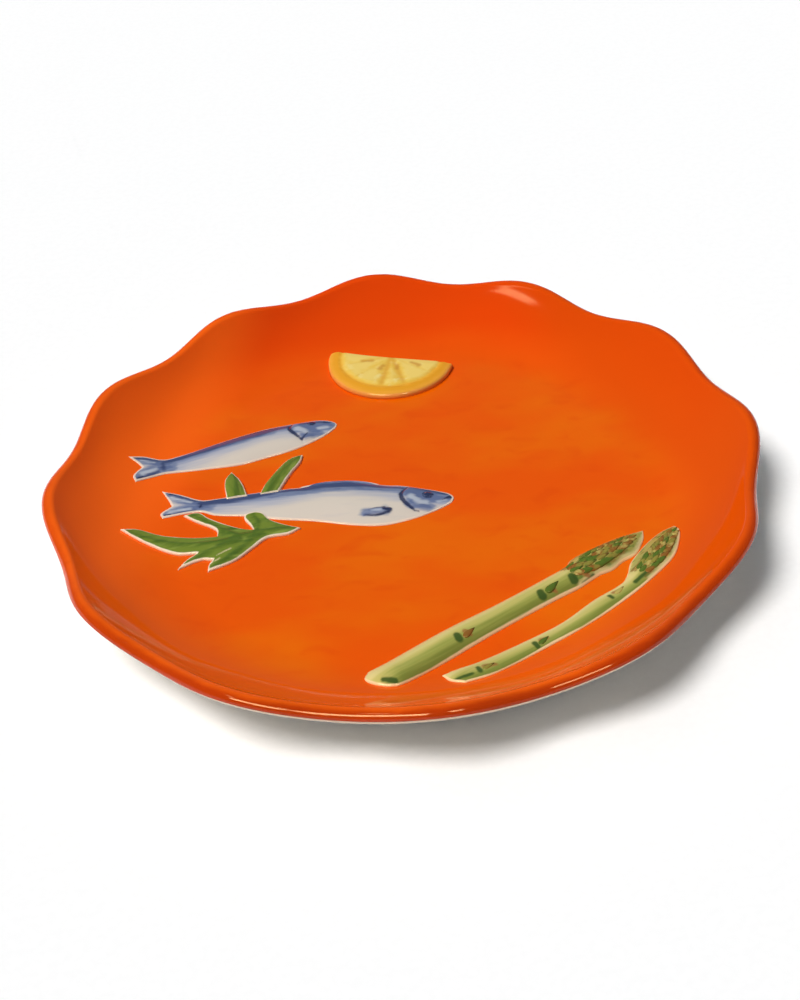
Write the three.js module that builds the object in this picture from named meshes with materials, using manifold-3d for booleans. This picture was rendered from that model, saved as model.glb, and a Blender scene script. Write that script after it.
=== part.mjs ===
// A scalloped earthenware plate with sardines, rocket, lemon and asparagus moulded on it in low relief.
// Millimetres, +Z up. The origin is the middle of the foot ring's underside. +Y is the far side of the
// plate when the sardines lie with their heads to the right, which is +X.

import * as THREE from 'three';
import { mergeVertices } from 'three/addons/utils/BufferGeometryUtils.js';
import Module from 'manifold-3d';

const wasm = await Module();
wasm.setup();

// Plate body
const rimRadius = 135; // mean radius of the scalloped outline
const wellRadius = 92; // the flat middle
const lipHeight = 23.5; // middle of the lip above the table
const bodyThickness = 5;
const lobeCount = 12;
const lobeReach = 1.95; // a lobe swings this far outside the mean outline, and a dip as far inside
const lobeLift = 1.9; // a lobe rises this far above the mean lip
const lobeStart = 112; // radius where the wall begins to wave
const lobeTurn = 2.5; // degrees from +X to the first lobe
// The pressed rim isn't quite round: waves in a turn, their size and the degrees from +X to a crest
const unevenness = [[3, 0.65, -27.8], [4, 0.87, 0.5], [5, 0.58, 17.6]];

// Foot ring
const footHeight = 3;
const footRadius = 80; // middle of the ring
const footWidth = 7;
const footRound = 1; // rounding of the two edges that meet the table

// Glaze coat
const glazeThickness = 0.45;
const glazeGap = 0.15; // between the coat and the clay
const glazeWrap = 132; // degrees that the coat runs round the lip
const bareEdge = 0.8; // bare clay left round every relief

// Reliefs
const seatGap = 0.3; // under every relief, where it lies on the curved clay
const sideGap = 0.4; // between two reliefs that meet
const edgeHeight = 0.6; // the upright edge that a relief keeps all round

// How far in from the rim each relief has its origin
const inset = {
  frontSardine: 55, backSardine: 38, leaf: 69, lemon: 40.8, thickAsparagus: 33.8, thinAsparagus: 31.4,
};

// Sardines: distances along the body run from the root of the tail to the snout
const frontSardine = {
  x: inset.frontSardine - rimRadius, y: 5, turn: -5.2, length: 99.4, crown: 3.7, headLength: 20.5,
  back: [[0, 2.9], [22, 6.4], [40, 8.6], [60, 9.8], [78, 8.2], [90, 5.9], [96.5, 3.1], [99.4, 0.7]],
  belly: [[0, 2.9], [8, 6.4], [24, 8.2], [45, 11.4], [62, 15], [74, 15.4], [84, 12.8], [93, 6.9],
    [99.4, 0.7]],
  tailTips: [[-17.6, 9], [-15.6, -6.6]], tailWidth: 3,
  eye: [89.4, 2.2], eyeRadius: 2,
};
const backSardine = {
  x: inset.backSardine - rimRadius, y: 31.5, turn: 15.7, length: 74.1, crown: 3.1, headLength: 18.5,
  back: [[0, 3.5], [15, 4.6], [38, 7.8], [50, 7.8], [62, 6.6], [70, 4.6], [74.1, 0.7]],
  belly: [[0, 4], [15, 7.7], [33, 10.7], [44, 10.6], [57, 8.9], [66, 5.6], [74.1, 0.7]],
  tailTips: [[-12.4, 5.6], [-11.8, -6.8]], tailWidth: 2.8,
  eye: [64.4, 3.6], eyeRadius: 1.5,
};
const tailHeight = 1.7;
const headLift = 0.5; // the head plate stands this far above the body
const eyeRise = 0.7; // and the eye this far above the head plate
const dorsalFin = { line: [[41, 8.4], [49, 10.7], [60, 10.7], [71, 8.6]], width: 1.3, height: 2.2 };
const sideFin = { line: [[75, -5.6], [70, -6.6], [64.5, -6.8]], width: 2, lift: 0.6 };

// Rocket: a lobe is a line from near the hub of the leaf to a tip, with half widths along the line
const leaf = { x: inset.leaf - rimRadius, y: -19, crown: 2.1, veinWidth: 0.6, veinLift: 0.45 };
const longLobe = {
  line: [[0, -1], [-14, -1.6], [-26, 1], [-36, 5], [-43.5, 8.2]], widths: [3.6, 4.1, 3.9, 2.8, 0.4],
};
const tailLobe = { line: [[2, 1], [-7, 8], [-13.5, 15], [-18.5, 20]], widths: [3.4, 3.2, 3.2, 2.6] };
const bellyLobe = { line: [[7, 0], [10, 8], [6.5, 16.5]], widths: [3.6, 3.4, 2.8] };
const rightLobe = { line: [[0, 1], [14, 3.6], [25.3, 4.2]], widths: [4, 3.2, 0.4] };
const lowerLobe = { line: [[2, -1], [-11, -7], [-20.5, -14]], widths: [4, 3.2, 0.4] };
const lowestLobe = { line: [[9, 1], [0.5, -8.5], [-9.3, -16.6]], widths: [4.2, 3.4, 0.5] };
const leftLeaflet = { line: [[-0.3, 23], [-0.6, 32], [-1.6, 38.5], [-2.4, 43]], widths: [4.6, 4, 2.4, 0.4] };
const rightLeaflet = {
  line: [[12, 23], [15.8, 35], [20.6, 43.5], [26.2, 50.2]], widths: [3.8, 3.9, 3.4, 0.5],
};

// Lemon: a half slice, cut side away from the middle of the plate
const lemon = {
  x: -0.6, y: rimRadius - inset.lemon, turn: -16.6, radius: 27.6, rindWidth: 6.6, height: 3, segments: 6,
  pillow: 0.6, pithWidth: 1.4, pithDepth: 0.5, rindEdge: 1,
};

// Asparagus: half widths against the distance from the cut end
const thickAsparagus = {
  x: -15, y: inset.thickAsparagus - rimRadius, turn: 33.2, line: [[0, 0], [40, 0], [80, 0], [122, 0]], crown: 4.2,
  widths: [[0, 5.4], [5, 6.2], [60, 5.8], [84, 5.7], [97, 6.6], [108, 5.5], [117, 2.9], [122, 0.5]],
  headStart: 84, bractLength: 10, bractWidth: 2.3, nodes: [[34, 1.2], [70, -1], [79, 2]],
};
const thinAsparagus = {
  x: 10.5, y: inset.thinAsparagus - rimRadius, turn: 37.4, crown: 3.4,
  line: [[0, 0], [32, -6.6], [66, -8.7], [90, -6.2], [112.7, 0]],
  widths: [[0, 3.3], [5, 4], [32, 4], [50, 3.6], [66, 3.8], [80, 4.4], [92, 5.4], [102, 4.6], [109, 2.3],
    [114, 0.4]],
  headStart: 78, bractLength: 8.5, bractWidth: 1.9, nodes: [[12, 1], [36, -0.6], [68, 1]],
};
const bractLift = 0.6; // a bract stands this far above the spear
const bractRows = 5;

// Fineness of the mesh
const segmentsPerLobe = 8;
const footSegments = 48;
const wallSteps = 5;
const lipSteps = 5;

// Values that follow from the sizes above
const degree = Math.PI / 180;
const turnSegments = lobeCount * segmentsPerLobe;
const lipRadius = bodyThickness / 2;
const floorHeight = footHeight + bodyThickness;
const middleHeight = footHeight + lipRadius;
const wallWidth = rimRadius - lipRadius - wellRadius;
const wallRise = lipHeight - middleHeight;
const wallRadius = (wallWidth ** 2 + wallRise ** 2) / (2 * wallRise);
const wallSweep = 2 * Math.atan2(wallRise, wallWidth);

// Smooth value at x of a curve through [x, value] points, level with its neighbours at every point
function curveThrough(points) {
  const slopes = points.map((point, i) => {
    const before = points[Math.max(i - 1, 0)];
    const after = points[Math.min(i + 1, points.length - 1)];
    return (after[1] - before[1]) / (after[0] - before[0]);
  });
  return (x) => {
    let i = 0;
    while (i < points.length - 2 && x > points[i + 1][0]) {
      i += 1;
    }
    const span = points[i + 1][0] - points[i][0];
    const f = THREE.MathUtils.clamp((x - points[i][0]) / span, 0, 1);
    const rise = points[i + 1][1] - points[i][1];
    const lead = slopes[i] * span - rise;
    const lag = rise - slopes[i + 1] * span;
    return points[i][1] + f * rise + f * (1 - f) * ((1 - f) * lead + f * lag);
  };
}

// Even steps of a list of values, as points for curveThrough over 0 to 1
function spread(values) {
  return values.map((value, i) => [i / (values.length - 1), value]);
}

// Solids from three.js geometry, and back
function solidOf(geometry) {
  const bare = geometry.clone();
  bare.deleteAttribute('normal');
  bare.deleteAttribute('uv');
  const merged = mergeVertices(bare, 1e-4);
  const index = merged.index.array;
  const kept = [];
  for (let i = 0; i < index.length; i += 3) {
    const [a, b, c] = [index[i], index[i + 1], index[i + 2]];
    if (a !== b && b !== c && a !== c) {
      kept.push(a, b, c);
    }
  }
  return new wasm.Manifold(new wasm.Mesh({
    numProp: 3,
    vertProperties: new Float32Array(merged.attributes.position.array),
    triVerts: new Uint32Array(kept),
  }));
}

function geometryOf(solid) {
  const mesh = solid.getMesh();
  const geometry = new THREE.BufferGeometry();
  geometry.setAttribute('position', new THREE.BufferAttribute(new Float32Array(mesh.vertProperties), 3));
  geometry.setIndex(new THREE.BufferAttribute(new Uint32Array(mesh.triVerts), 1));
  geometry.computeVertexNormals();
  return geometry;
}

// Points of the plate's section, offset towards the food from the middle line of its thickness
function wallPoint(angle, offset) {
  return new THREE.Vector2(
    wellRadius + (wallRadius - offset) * Math.sin(angle),
    middleHeight + wallRadius - (wallRadius - offset) * Math.cos(angle),
  );
}

function wallLine(offset) {
  const points = [new THREE.Vector2(0, middleHeight + offset)];
  for (let i = 0; i <= wallSteps; i += 1) {
    points.push(wallPoint((wallSweep * i) / wallSteps, offset));
  }
  return points;
}

// The rounded end of the section, from the food side round to the given angle
function lipLine(offset, wrap) {
  const centre = wallPoint(wallSweep, 0);
  const points = [];
  for (let i = 1; i <= lipSteps; i += 1) {
    const angle = wallSweep + Math.PI / 2 - (wrap * i) / lipSteps;
    points.push(new THREE.Vector2(centre.x + offset * Math.cos(angle), centre.y + offset * Math.sin(angle)));
  }
  return points;
}

// Height of the clay's upper face at a radius
function seatHeight(radius) {
  const run = Math.max(radius - wellRadius, 0);
  const inner = wallRadius - lipRadius;
  return middleHeight + wallRadius - Math.sqrt(Math.max(inner ** 2 - run ** 2, 0));
}

// A section, listed from the food side round to the underside, turned about the plate's axis, with the
// wall and lip waved into lobes
function turned(section, segments) {
  const geometry = new THREE.LatheGeometry([...section].reverse(), segments).rotateX(Math.PI / 2);
  const position = geometry.attributes.position;
  for (let i = 0; i < position.count; i += 1) {
    const x = position.getX(i);
    const y = position.getY(i);
    const radius = Math.hypot(x, y);
    const share = THREE.MathUtils.smoothstep(radius, lobeStart, rimRadius);
    const angle = Math.atan2(y, x);
    const lobe = Math.cos(lobeCount * (angle - lobeTurn * degree));
    const drift = unevenness.reduce((sum, [waves, size, turn]) => (
      sum + size * Math.cos(waves * (angle - turn * degree))
    ), 0);
    const reach = radius > 0 ? (radius + share * (lobeReach * lobe + drift)) / radius : 1;
    position.setXYZ(i, x * reach, y * reach, position.getZ(i) + share * lobeLift * lobe);
  }
  return geometry;
}

// A relief strip along a line: half widths to its left and right, and a height over each of its points.
// A grown strip is the same outline pushed out all round and made tall, to cut its neighbours with.
function strip(shape, grow = 0) {
  const { line, left, right, height, stations, bow = 0 } = shape;
  const across = grow ? 1 : shape.across;
  const spine = new THREE.SplineCurve(line.map((point) => new THREE.Vector2(...point)));
  const vertices = [];
  for (let i = 0; i <= stations; i += 1) {
    const t = i / stations;
    const along = spine.getTangentAt(t);
    const ends = (i === stations ? grow : 0) - (i === 0 ? grow : 0);
    const middle = spine.getPointAt(t).addScaledVector(along, ends);
    for (let j = 0; j <= across; j += 1) {
      const s = (2 * j) / across - 1;
      const reach = s < 0 ? s * (right(t) + grow) : s * (left(t) + grow);
      const push = bow * s * s * (1 - t);
      const x = middle.x - along.y * reach + along.x * push;
      const y = middle.y + along.x * reach + along.y * push;
      vertices.push([x, y, grow ? lipHeight : height(t, s, x, y)]);
    }
  }
  return slab(vertices, stations, across, grow ? -lipHeight : 0);
}

// A grid of heights closed below at one level
function slab(vertices, rows, columns, base) {
  const count = vertices.length;
  const position = [...vertices.flat(), ...vertices.flatMap(([x, y]) => [x, y, base])];
  const index = [];
  const quad = (a, b, c, d) => index.push(a, b, c, a, c, d);
  const at = (i, j) => i * (columns + 1) + j;
  for (let i = 0; i < rows; i += 1) {
    for (let j = 0; j < columns; j += 1) {
      const corners = [at(i, j), at(i + 1, j), at(i + 1, j + 1), at(i, j + 1)];
      quad(...corners);
      quad(...corners.reverse().map((corner) => corner + count));
    }
    quad(at(i + 1, 0), at(i, 0), at(i, 0) + count, at(i + 1, 0) + count);
    quad(at(i, columns), at(i + 1, columns), at(i + 1, columns) + count, at(i, columns) + count);
  }
  for (let j = 0; j < columns; j += 1) {
    quad(at(0, j), at(0, j + 1), at(0, j + 1) + count, at(0, j) + count);
    quad(at(rows, j + 1), at(rows, j), at(rows, j) + count, at(rows, j + 1) + count);
  }
  const geometry = new THREE.BufferGeometry();
  geometry.setAttribute('position', new THREE.Float32BufferAttribute(position, 3));
  geometry.setIndex(index);
  return solidOf(geometry);
}

// Height across a strip, from its upright edge to its crown
function crowned(crown, s) {
  return edgeHeight + (crown - edgeHeight) * Math.max(1 - s * s, 0) ** 0.6;
}

function joined(solids) {
  return wasm.Manifold.union(solids);
}

// Reliefs are modelled flat in the plan of the plate and set down on the clay afterwards
function placed(solid, { x, y, turn = 0 }) {
  return solid.rotate([0, 0, turn]).translate([x, y, 0]);
}

function setDown(solid) {
  return solid.warp((vertex) => {
    vertex[2] += seatHeight(Math.hypot(vertex[0], vertex[1])) + seatGap;
  });
}

// A sardine: body, head plate, eye, forked tail and the fins that the larger fish shows
function sardine(fish, fins, grow = 0) {
  const back = curveThrough(fish.back);
  const belly = curveThrough(fish.belly);
  const crown = fish.crown;
  const fullness = curveThrough(spread([tailHeight + 0.6, crown * 0.8, crown, crown * 0.95, 2.4]));
  const bodyHeight = (u, v) => {
    const half = v > 0 ? back(u) : belly(u);
    return crowned(fullness(u / fish.length), v / half);
  };
  const headStart = fish.length - fish.headLength;
  const onHead = (t) => headStart + t * fish.headLength;
  const solids = [
    strip({
      line: [[0, 0], [fish.length, 0]],
      left: (t) => back(t * fish.length), right: (t) => belly(t * fish.length),
      height: (t, s, u, v) => bodyHeight(u, v), stations: 18, across: 6,
    }, grow),
  ];
  fish.tailTips.forEach((tip) => {
    const width = curveThrough(spread([fish.tailWidth * 0.8, fish.tailWidth, 0.8]));
    solids.push(strip({
      line: [[4, 0], [tip[0] * 0.35, tip[1] * 0.4], tip], left: width, right: width,
      height: (t, s) => crowned(tailHeight, s), stations: 4, across: 2,
    }, grow));
  });
  if (fins) {
    const width = () => dorsalFin.width;
    solids.push(strip({
      line: dorsalFin.line, left: width, right: width, height: (t, s) => crowned(dorsalFin.height, s),
      stations: 5, across: 2,
    }, grow));
  }
  if (!grow) {
    solids.push(strip({
      line: [[headStart, 0], [fish.length - 1, 0]],
      left: (t) => back(onHead(t)) * 0.9, right: (t) => belly(onHead(t)) * 0.9, bow: fish.headLength * 0.25,
      height: (t, s, u, v) => bodyHeight(u, v) + headLift, stations: 4, across: 6,
    }));
    const eyeHeight = bodyHeight(...fish.eye) + headLift;
    const eye = new THREE.SphereGeometry(fish.eyeRadius, 10, 6).scale(1, 1, eyeRise / fish.eyeRadius);
    solids.push(solidOf(eye.translate(...fish.eye, eyeHeight)));
    if (fins) {
      const width = curveThrough(spread([sideFin.width * 0.5, sideFin.width, sideFin.width * 0.6]));
      solids.push(strip({
        line: sideFin.line, left: width, right: width,
        height: (t, s, u, v) => bodyHeight(u, v) + sideFin.lift, stations: 4, across: 2,
      }));
    }
  }
  return placed(joined(solids), fish);
}

// One lobe of a leaf with its vein
function leafLobe({ line, widths }, grow = 0) {
  const width = curveThrough(spread(widths));
  const blade = strip({
    line, left: width, right: width, height: (t, s) => crowned(leaf.crown, s), stations: 5, across: 2,
  }, grow);
  if (grow) {
    return blade;
  }
  const vein = curveThrough(spread([leaf.veinWidth, 0.3]));
  return blade.add(strip({
    line, left: vein, right: vein, height: () => leaf.crown + leaf.veinLift, stations: 5, across: 1,
  }));
}

function rocketLeaf(grow = 0) {
  const lobes = [longLobe, tailLobe, bellyLobe, rightLobe, lowerLobe, lowestLobe];
  return placed(joined(lobes.map((lobe) => leafLobe(lobe, grow))), leaf);
}

// The lemon: pillow-shaped segments round the middle of the cut, then the pith and the rind
function lemonSlice(grow = 0) {
  const flesh = lemon.radius - lemon.rindWidth;
  const pithMiddle = flesh + lemon.pithWidth / 2;
  const rings = [[0, 0], [flesh * 0.2, 0.5], [flesh * 0.6, 1], [flesh * 0.9, 0.8], [flesh, 0]];
  const skin = [
    [pithMiddle, -lemon.pithDepth], [flesh + lemon.pithWidth, 0],
    [(flesh + lemon.pithWidth + lemon.radius) / 2, (lemon.rindEdge - lemon.height) * 0.3],
    [lemon.radius, lemon.rindEdge - lemon.height],
  ];
  const steps = [0, 0.2, 0.8];
  const angles = [];
  for (let i = 0; i < lemon.segments; i += 1) {
    steps.forEach((step) => {
      angles.push([Math.PI * (1 + (i + step) / lemon.segments), Math.sin(step * Math.PI)]);
    });
  }
  angles.push([2 * Math.PI, 0]);
  const spoke = ([angle, bulge]) => [...rings, ...skin].map(([radius, rise], i) => {
    const swell = i < rings.length ? rise * lemon.pillow * Math.sqrt(bulge) : rise;
    return [radius * Math.cos(angle), radius * Math.sin(angle), lemon.height + swell];
  });
  const vertices = angles.reverse().flatMap(spoke);
  if (grow) {
    const disc = new THREE.CylinderGeometry(lemon.radius + grow, lemon.radius + grow, 2 * lipHeight, 36);
    const round = solidOf(disc.rotateX(Math.PI / 2));
    return placed(round.trimByPlane([0, -1, 0], -grow), lemon);
  }
  return placed(slab(vertices, angles.length - 1, rings.length + skin.length - 1, 0), lemon);
}

// An asparagus spear: the stalk, the bracts on it and the overlapping bracts of its head
function asparagus(spear, grow = 0) {
  const spine = new THREE.SplineCurve(spear.line.map((point) => new THREE.Vector2(...point)));
  const length = spine.getLength();
  const half = curveThrough(spear.widths);
  const width = (t) => half(t * length);
  const crown = (t) => Math.min(spear.crown, edgeHeight + half(t * length));
  const solids = [strip({
    line: spear.line, left: width, right: width, height: (t, s) => crowned(crown(t), s),
    stations: 18, across: 4,
  }, grow)];
  const bract = (distance, side, reach) => {
    const point = (u, share) => {
      const t = Math.min(u / length, 1);
      const along = spine.getTangentAt(t);
      const offset = side + share * (Math.sign(side) || 1);
      return spine.getPointAt(t).add(new THREE.Vector2(-along.y * offset, along.x * offset)).toArray();
    };
    const end = Math.min(distance + reach, length - 0.5);
    const taper = curveThrough(spread([spear.bractWidth, spear.bractWidth, spear.bractWidth * 0.6, 0.2]));
    return strip({
      line: [point(distance, 0), point((distance + end) / 2, 0.4), point(end, -0.4)],
      left: taper, right: taper,
      height: (t, s) => {
        const u = distance + t * (end - distance);
        return crowned(crown(u / length), side / half(u)) + bractLift * (0.3 + t) * (1 - 0.6 * s * s);
      },
      stations: 3, across: 2,
    });
  };
  if (!grow) {
    spear.nodes.forEach(([u, side]) => solids.push(bract(u, side, spear.bractLength * 0.8)));
    const pitch = (length - spear.headStart - spear.bractLength * 0.6) / bractRows;
    for (let row = 0; row < bractRows; row += 1) {
      const u = spear.headStart + row * pitch;
      const narrow = Math.min(half(u + pitch), half(u + spear.bractLength * 0.7));
      const room = Math.max(narrow - spear.bractWidth, 0.3);
      const sides = row % 2 === 0 ? [-room, room] : [0];
      sides.forEach((side) => solids.push(bract(u, side, spear.bractLength)));
    }
  }
  return placed(joined(solids), spear);
}

// The clay
const bodySection = [
  ...wallLine(lipRadius), ...lipLine(lipRadius, Math.PI).slice(0, -1), ...wallLine(-lipRadius).reverse(),
];
const footSection = [
  [footRadius - footWidth / 2, footHeight], [footRadius + footWidth / 2, footHeight],
  [footRadius + footWidth / 2, footRound], [footRadius + footWidth / 2 - footRound, 0],
  [footRadius - footWidth / 2 + footRound, 0], [footRadius - footWidth / 2, footRound],
  [footRadius - footWidth / 2, footHeight],
].map((point) => new THREE.Vector2(...point));

// The reliefs. The rocket is cut away where the front sardine lies on it.
const fishRoom = sardine(frontSardine, true, sideGap);
const leaflet = (lobe, grow) => placed(leafLobe(lobe, grow), leaf);
const reliefs = {
  front_sardine: sardine(frontSardine, true),
  back_sardine: sardine(backSardine, false),
  rocket_leaf: rocketLeaf().subtract(fishRoom),
  rocket_leaflet_left: leaflet(leftLeaflet).subtract(fishRoom),
  rocket_leaflet_right: leaflet(rightLeaflet).subtract(fishRoom),
  lemon_slice: lemonSlice(),
  thick_asparagus: asparagus(thickAsparagus),
  thin_asparagus: asparagus(thinAsparagus),
};

// The coat, cut through round every relief
const coatInside = lipRadius + glazeGap;
const coatOutside = coatInside + glazeThickness;
const wrap = glazeWrap * degree;
const coatSection = [
  ...wallLine(coatOutside), ...lipLine(coatOutside, wrap),
  ...[...wallLine(coatInside), ...lipLine(coatInside, wrap)].reverse(),
];
const windows = joined([
  sardine(frontSardine, true, bareEdge), sardine(backSardine, false, bareEdge),
  rocketLeaf(bareEdge), leaflet(leftLeaflet, bareEdge), leaflet(rightLeaflet, bareEdge),
  lemonSlice(bareEdge), asparagus(thickAsparagus, bareEdge), asparagus(thinAsparagus, bareEdge),
]).translate([0, 0, floorHeight]);
const coats = solidOf(turned(coatSection, turnSegments)).subtract(windows).decompose();
coats.sort((a, b) => b.volume() - a.volume());

// The assembly
const clay = new THREE.MeshStandardMaterial({ color: 0xeedcc8, roughness: 0.6 });
const glaze = new THREE.MeshStandardMaterial({ color: 0xe6590f, roughness: 0.12 });
const silver = new THREE.MeshStandardMaterial({ color: 0xb8bccb, roughness: 0.2 });
const green = new THREE.MeshStandardMaterial({ color: 0x6a8a28, roughness: 0.2 });
const yellow = new THREE.MeshStandardMaterial({ color: 0xe6b848, roughness: 0.2 });
const stalk = new THREE.MeshStandardMaterial({ color: 0xa8ac55, roughness: 0.2 });
const materials = {
  front_sardine: silver, back_sardine: silver, rocket_leaf: green, rocket_leaflet_left: green,
  rocket_leaflet_right: green, lemon_slice: yellow, thick_asparagus: stalk, thin_asparagus: stalk,
};

const group = new THREE.Group();
group.name = 'sardine_plate';

function add(name, geometry, material) {
  const mesh = new THREE.Mesh(geometry, material);
  mesh.name = name;
  group.add(mesh);
}

add('plate_body', turned(bodySection, turnSegments), clay);
add('foot_ring', turned(footSection, footSegments), clay);
add('orange_glaze', geometryOf(coats[0]), glaze);
coats.slice(1).forEach((patch, i) => {
  add(i === 0 ? 'orange_glaze_patch' : `orange_glaze_patch_${i + 1}`, geometryOf(patch), glaze);
});
Object.entries(reliefs).forEach(([name, relief]) => add(name, geometryOf(setDown(relief)), materials[name]));

export default group;
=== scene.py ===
# %% [markdown]
# # A scalloped plate with sardines, rocket, lemon and asparagus in relief
# The real plate is earthenware: a lobed plate was pressed from clay, small figures were pressed from clay
# too and stuck on, the figures were painted by brush, and an orange glaze was flooded round them. This
# lesson makes the plate and its coat first, then each figure with its paint, and last light and camera.

import math

import bpy
import numpy as np
from mathutils import Matrix, Vector, geometry


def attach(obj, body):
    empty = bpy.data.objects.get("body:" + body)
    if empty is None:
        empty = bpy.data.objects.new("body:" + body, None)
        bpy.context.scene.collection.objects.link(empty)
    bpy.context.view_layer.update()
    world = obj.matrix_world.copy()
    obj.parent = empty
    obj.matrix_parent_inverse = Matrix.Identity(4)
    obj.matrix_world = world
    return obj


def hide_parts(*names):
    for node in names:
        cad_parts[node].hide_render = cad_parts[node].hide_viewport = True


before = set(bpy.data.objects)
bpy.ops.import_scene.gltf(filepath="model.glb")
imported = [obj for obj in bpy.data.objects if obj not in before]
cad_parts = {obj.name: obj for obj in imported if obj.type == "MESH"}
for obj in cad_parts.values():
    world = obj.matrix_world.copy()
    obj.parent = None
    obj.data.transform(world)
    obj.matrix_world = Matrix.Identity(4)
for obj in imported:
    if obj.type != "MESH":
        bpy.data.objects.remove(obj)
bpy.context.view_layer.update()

# %% [markdown]
# All sizes below are millimetres, as a potter would note them, and become metres when a mesh is made. They
# are the sizes of the measured model, so the looks land on it. Only the coat is a little thinner, to stay
# inside it. The rim of a pressed plate is never quite round, so besides its twelve lobes it drifts in three
# slow waves.

# %% Sizes of the plate
MM = 0.001
RIM_RADIUS = 135.0
WELL_RADIUS = 92.0
LIP_HEIGHT = 23.5
BODY_THICKNESS = 5.0
FOOT_HEIGHT = 3.0
FOOT_RADIUS = 80.0
FOOT_WIDTH = 7.0
LOBES = 12
LOBE_REACH = 1.9
LOBE_LIFT = 1.9
LOBE_START = 112.0
LOBE_TURN = math.radians(2.5)
# Slow waves of the rim: how many to a turn, size, and the angle of a crest.
UNEVENNESS = [(3, 0.65, math.radians(-27.8)), (4, 0.87, math.radians(0.5)), (5, 0.58, math.radians(17.6))]
# The two faces of the coat off the clay, and how far the coat turns round the lip.
COAT_INSIDE = 0.1
COAT_OUTSIDE = 0.4
COAT_WRAP = math.radians(132)

LIP_RADIUS = BODY_THICKNESS / 2
MIDDLE_HEIGHT = FOOT_HEIGHT + LIP_RADIUS
WALL_WIDTH = RIM_RADIUS - LIP_RADIUS - WELL_RADIUS
WALL_RISE = LIP_HEIGHT - MIDDLE_HEIGHT
WALL_RADIUS = (WALL_WIDTH ** 2 + WALL_RISE ** 2) / (2 * WALL_RISE)
WALL_SWEEP = 2 * math.atan2(WALL_RISE, WALL_WIDTH)
print("wall arc radius", round(WALL_RADIUS, 1), "mm, steepest", round(math.degrees(WALL_SWEEP), 1), "degrees")


# %% [markdown]
# Two small helpers do the repeated work of this lesson. One turns a colour as a painter's chart gives it, a
# hex value, into the linear numbers that shaders use. The other adds a node, sets it up and links it.

# %% Helpers for colours and nodes
def linear(code):
    """Linear red, green, blue and alpha of a hex colour."""
    parts = [int(code[i:i + 2], 16) / 255 for i in (0, 2, 4)]
    return [p / 12.92 if p <= 0.04045 else ((p + 0.055) / 1.055) ** 2.4 for p in parts] + [1.0]


def add_node(tree, kind, links=None, **settings):
    """A new node with its settings. Each input takes a value, a socket or a node's first output."""
    node = tree.nodes.new(kind)
    for key, value in settings.items():
        setattr(node, key, value)
    for key, value in (links or {}).items():
        source = value.outputs[0] if isinstance(value, bpy.types.Node) else value
        if isinstance(source, bpy.types.NodeSocket):
            tree.links.new(source, node.inputs[key])
        else:
            node.inputs[key].default_value = source
    return node


print("mid grey, hex 808080, is", round(linear("808080")[0], 3), "in linear light")


# %% [markdown]
# ## The turned plate
# A potter's plate is one section turned about an axis, here with twelve lobes waved into its wall. You could
# spin the section with the Screw modifier and bend the rim by hand, but a rule is better written as a rule.
# This Geometry Nodes tree lays a grid, reads each row's radius and height from the section, adds the waves,
# and turns the row. Clay, foot and glaze coat all pass through the same tree, so they can never drift apart.

# %% Geometry Nodes: a lobed turning
# Points closer than this are joined where a turning meets itself.
SEAM = 0.01


def tree_inputs(tree, sizes):
    """Named inputs, each with a default value, and the geometry going in and out."""
    tree.interface.new_socket("Geometry", in_out="INPUT", socket_type="NodeSocketGeometry")
    tree.interface.new_socket("Geometry", in_out="OUTPUT", socket_type="NodeSocketGeometry")
    for name, kind, value in sizes:
        socket = tree.interface.new_socket(name, in_out="INPUT", socket_type="NodeSocket" + kind)
        if value is not None:
            socket.default_value = value
    return add_node(tree, "NodeGroupInput").outputs


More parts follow.
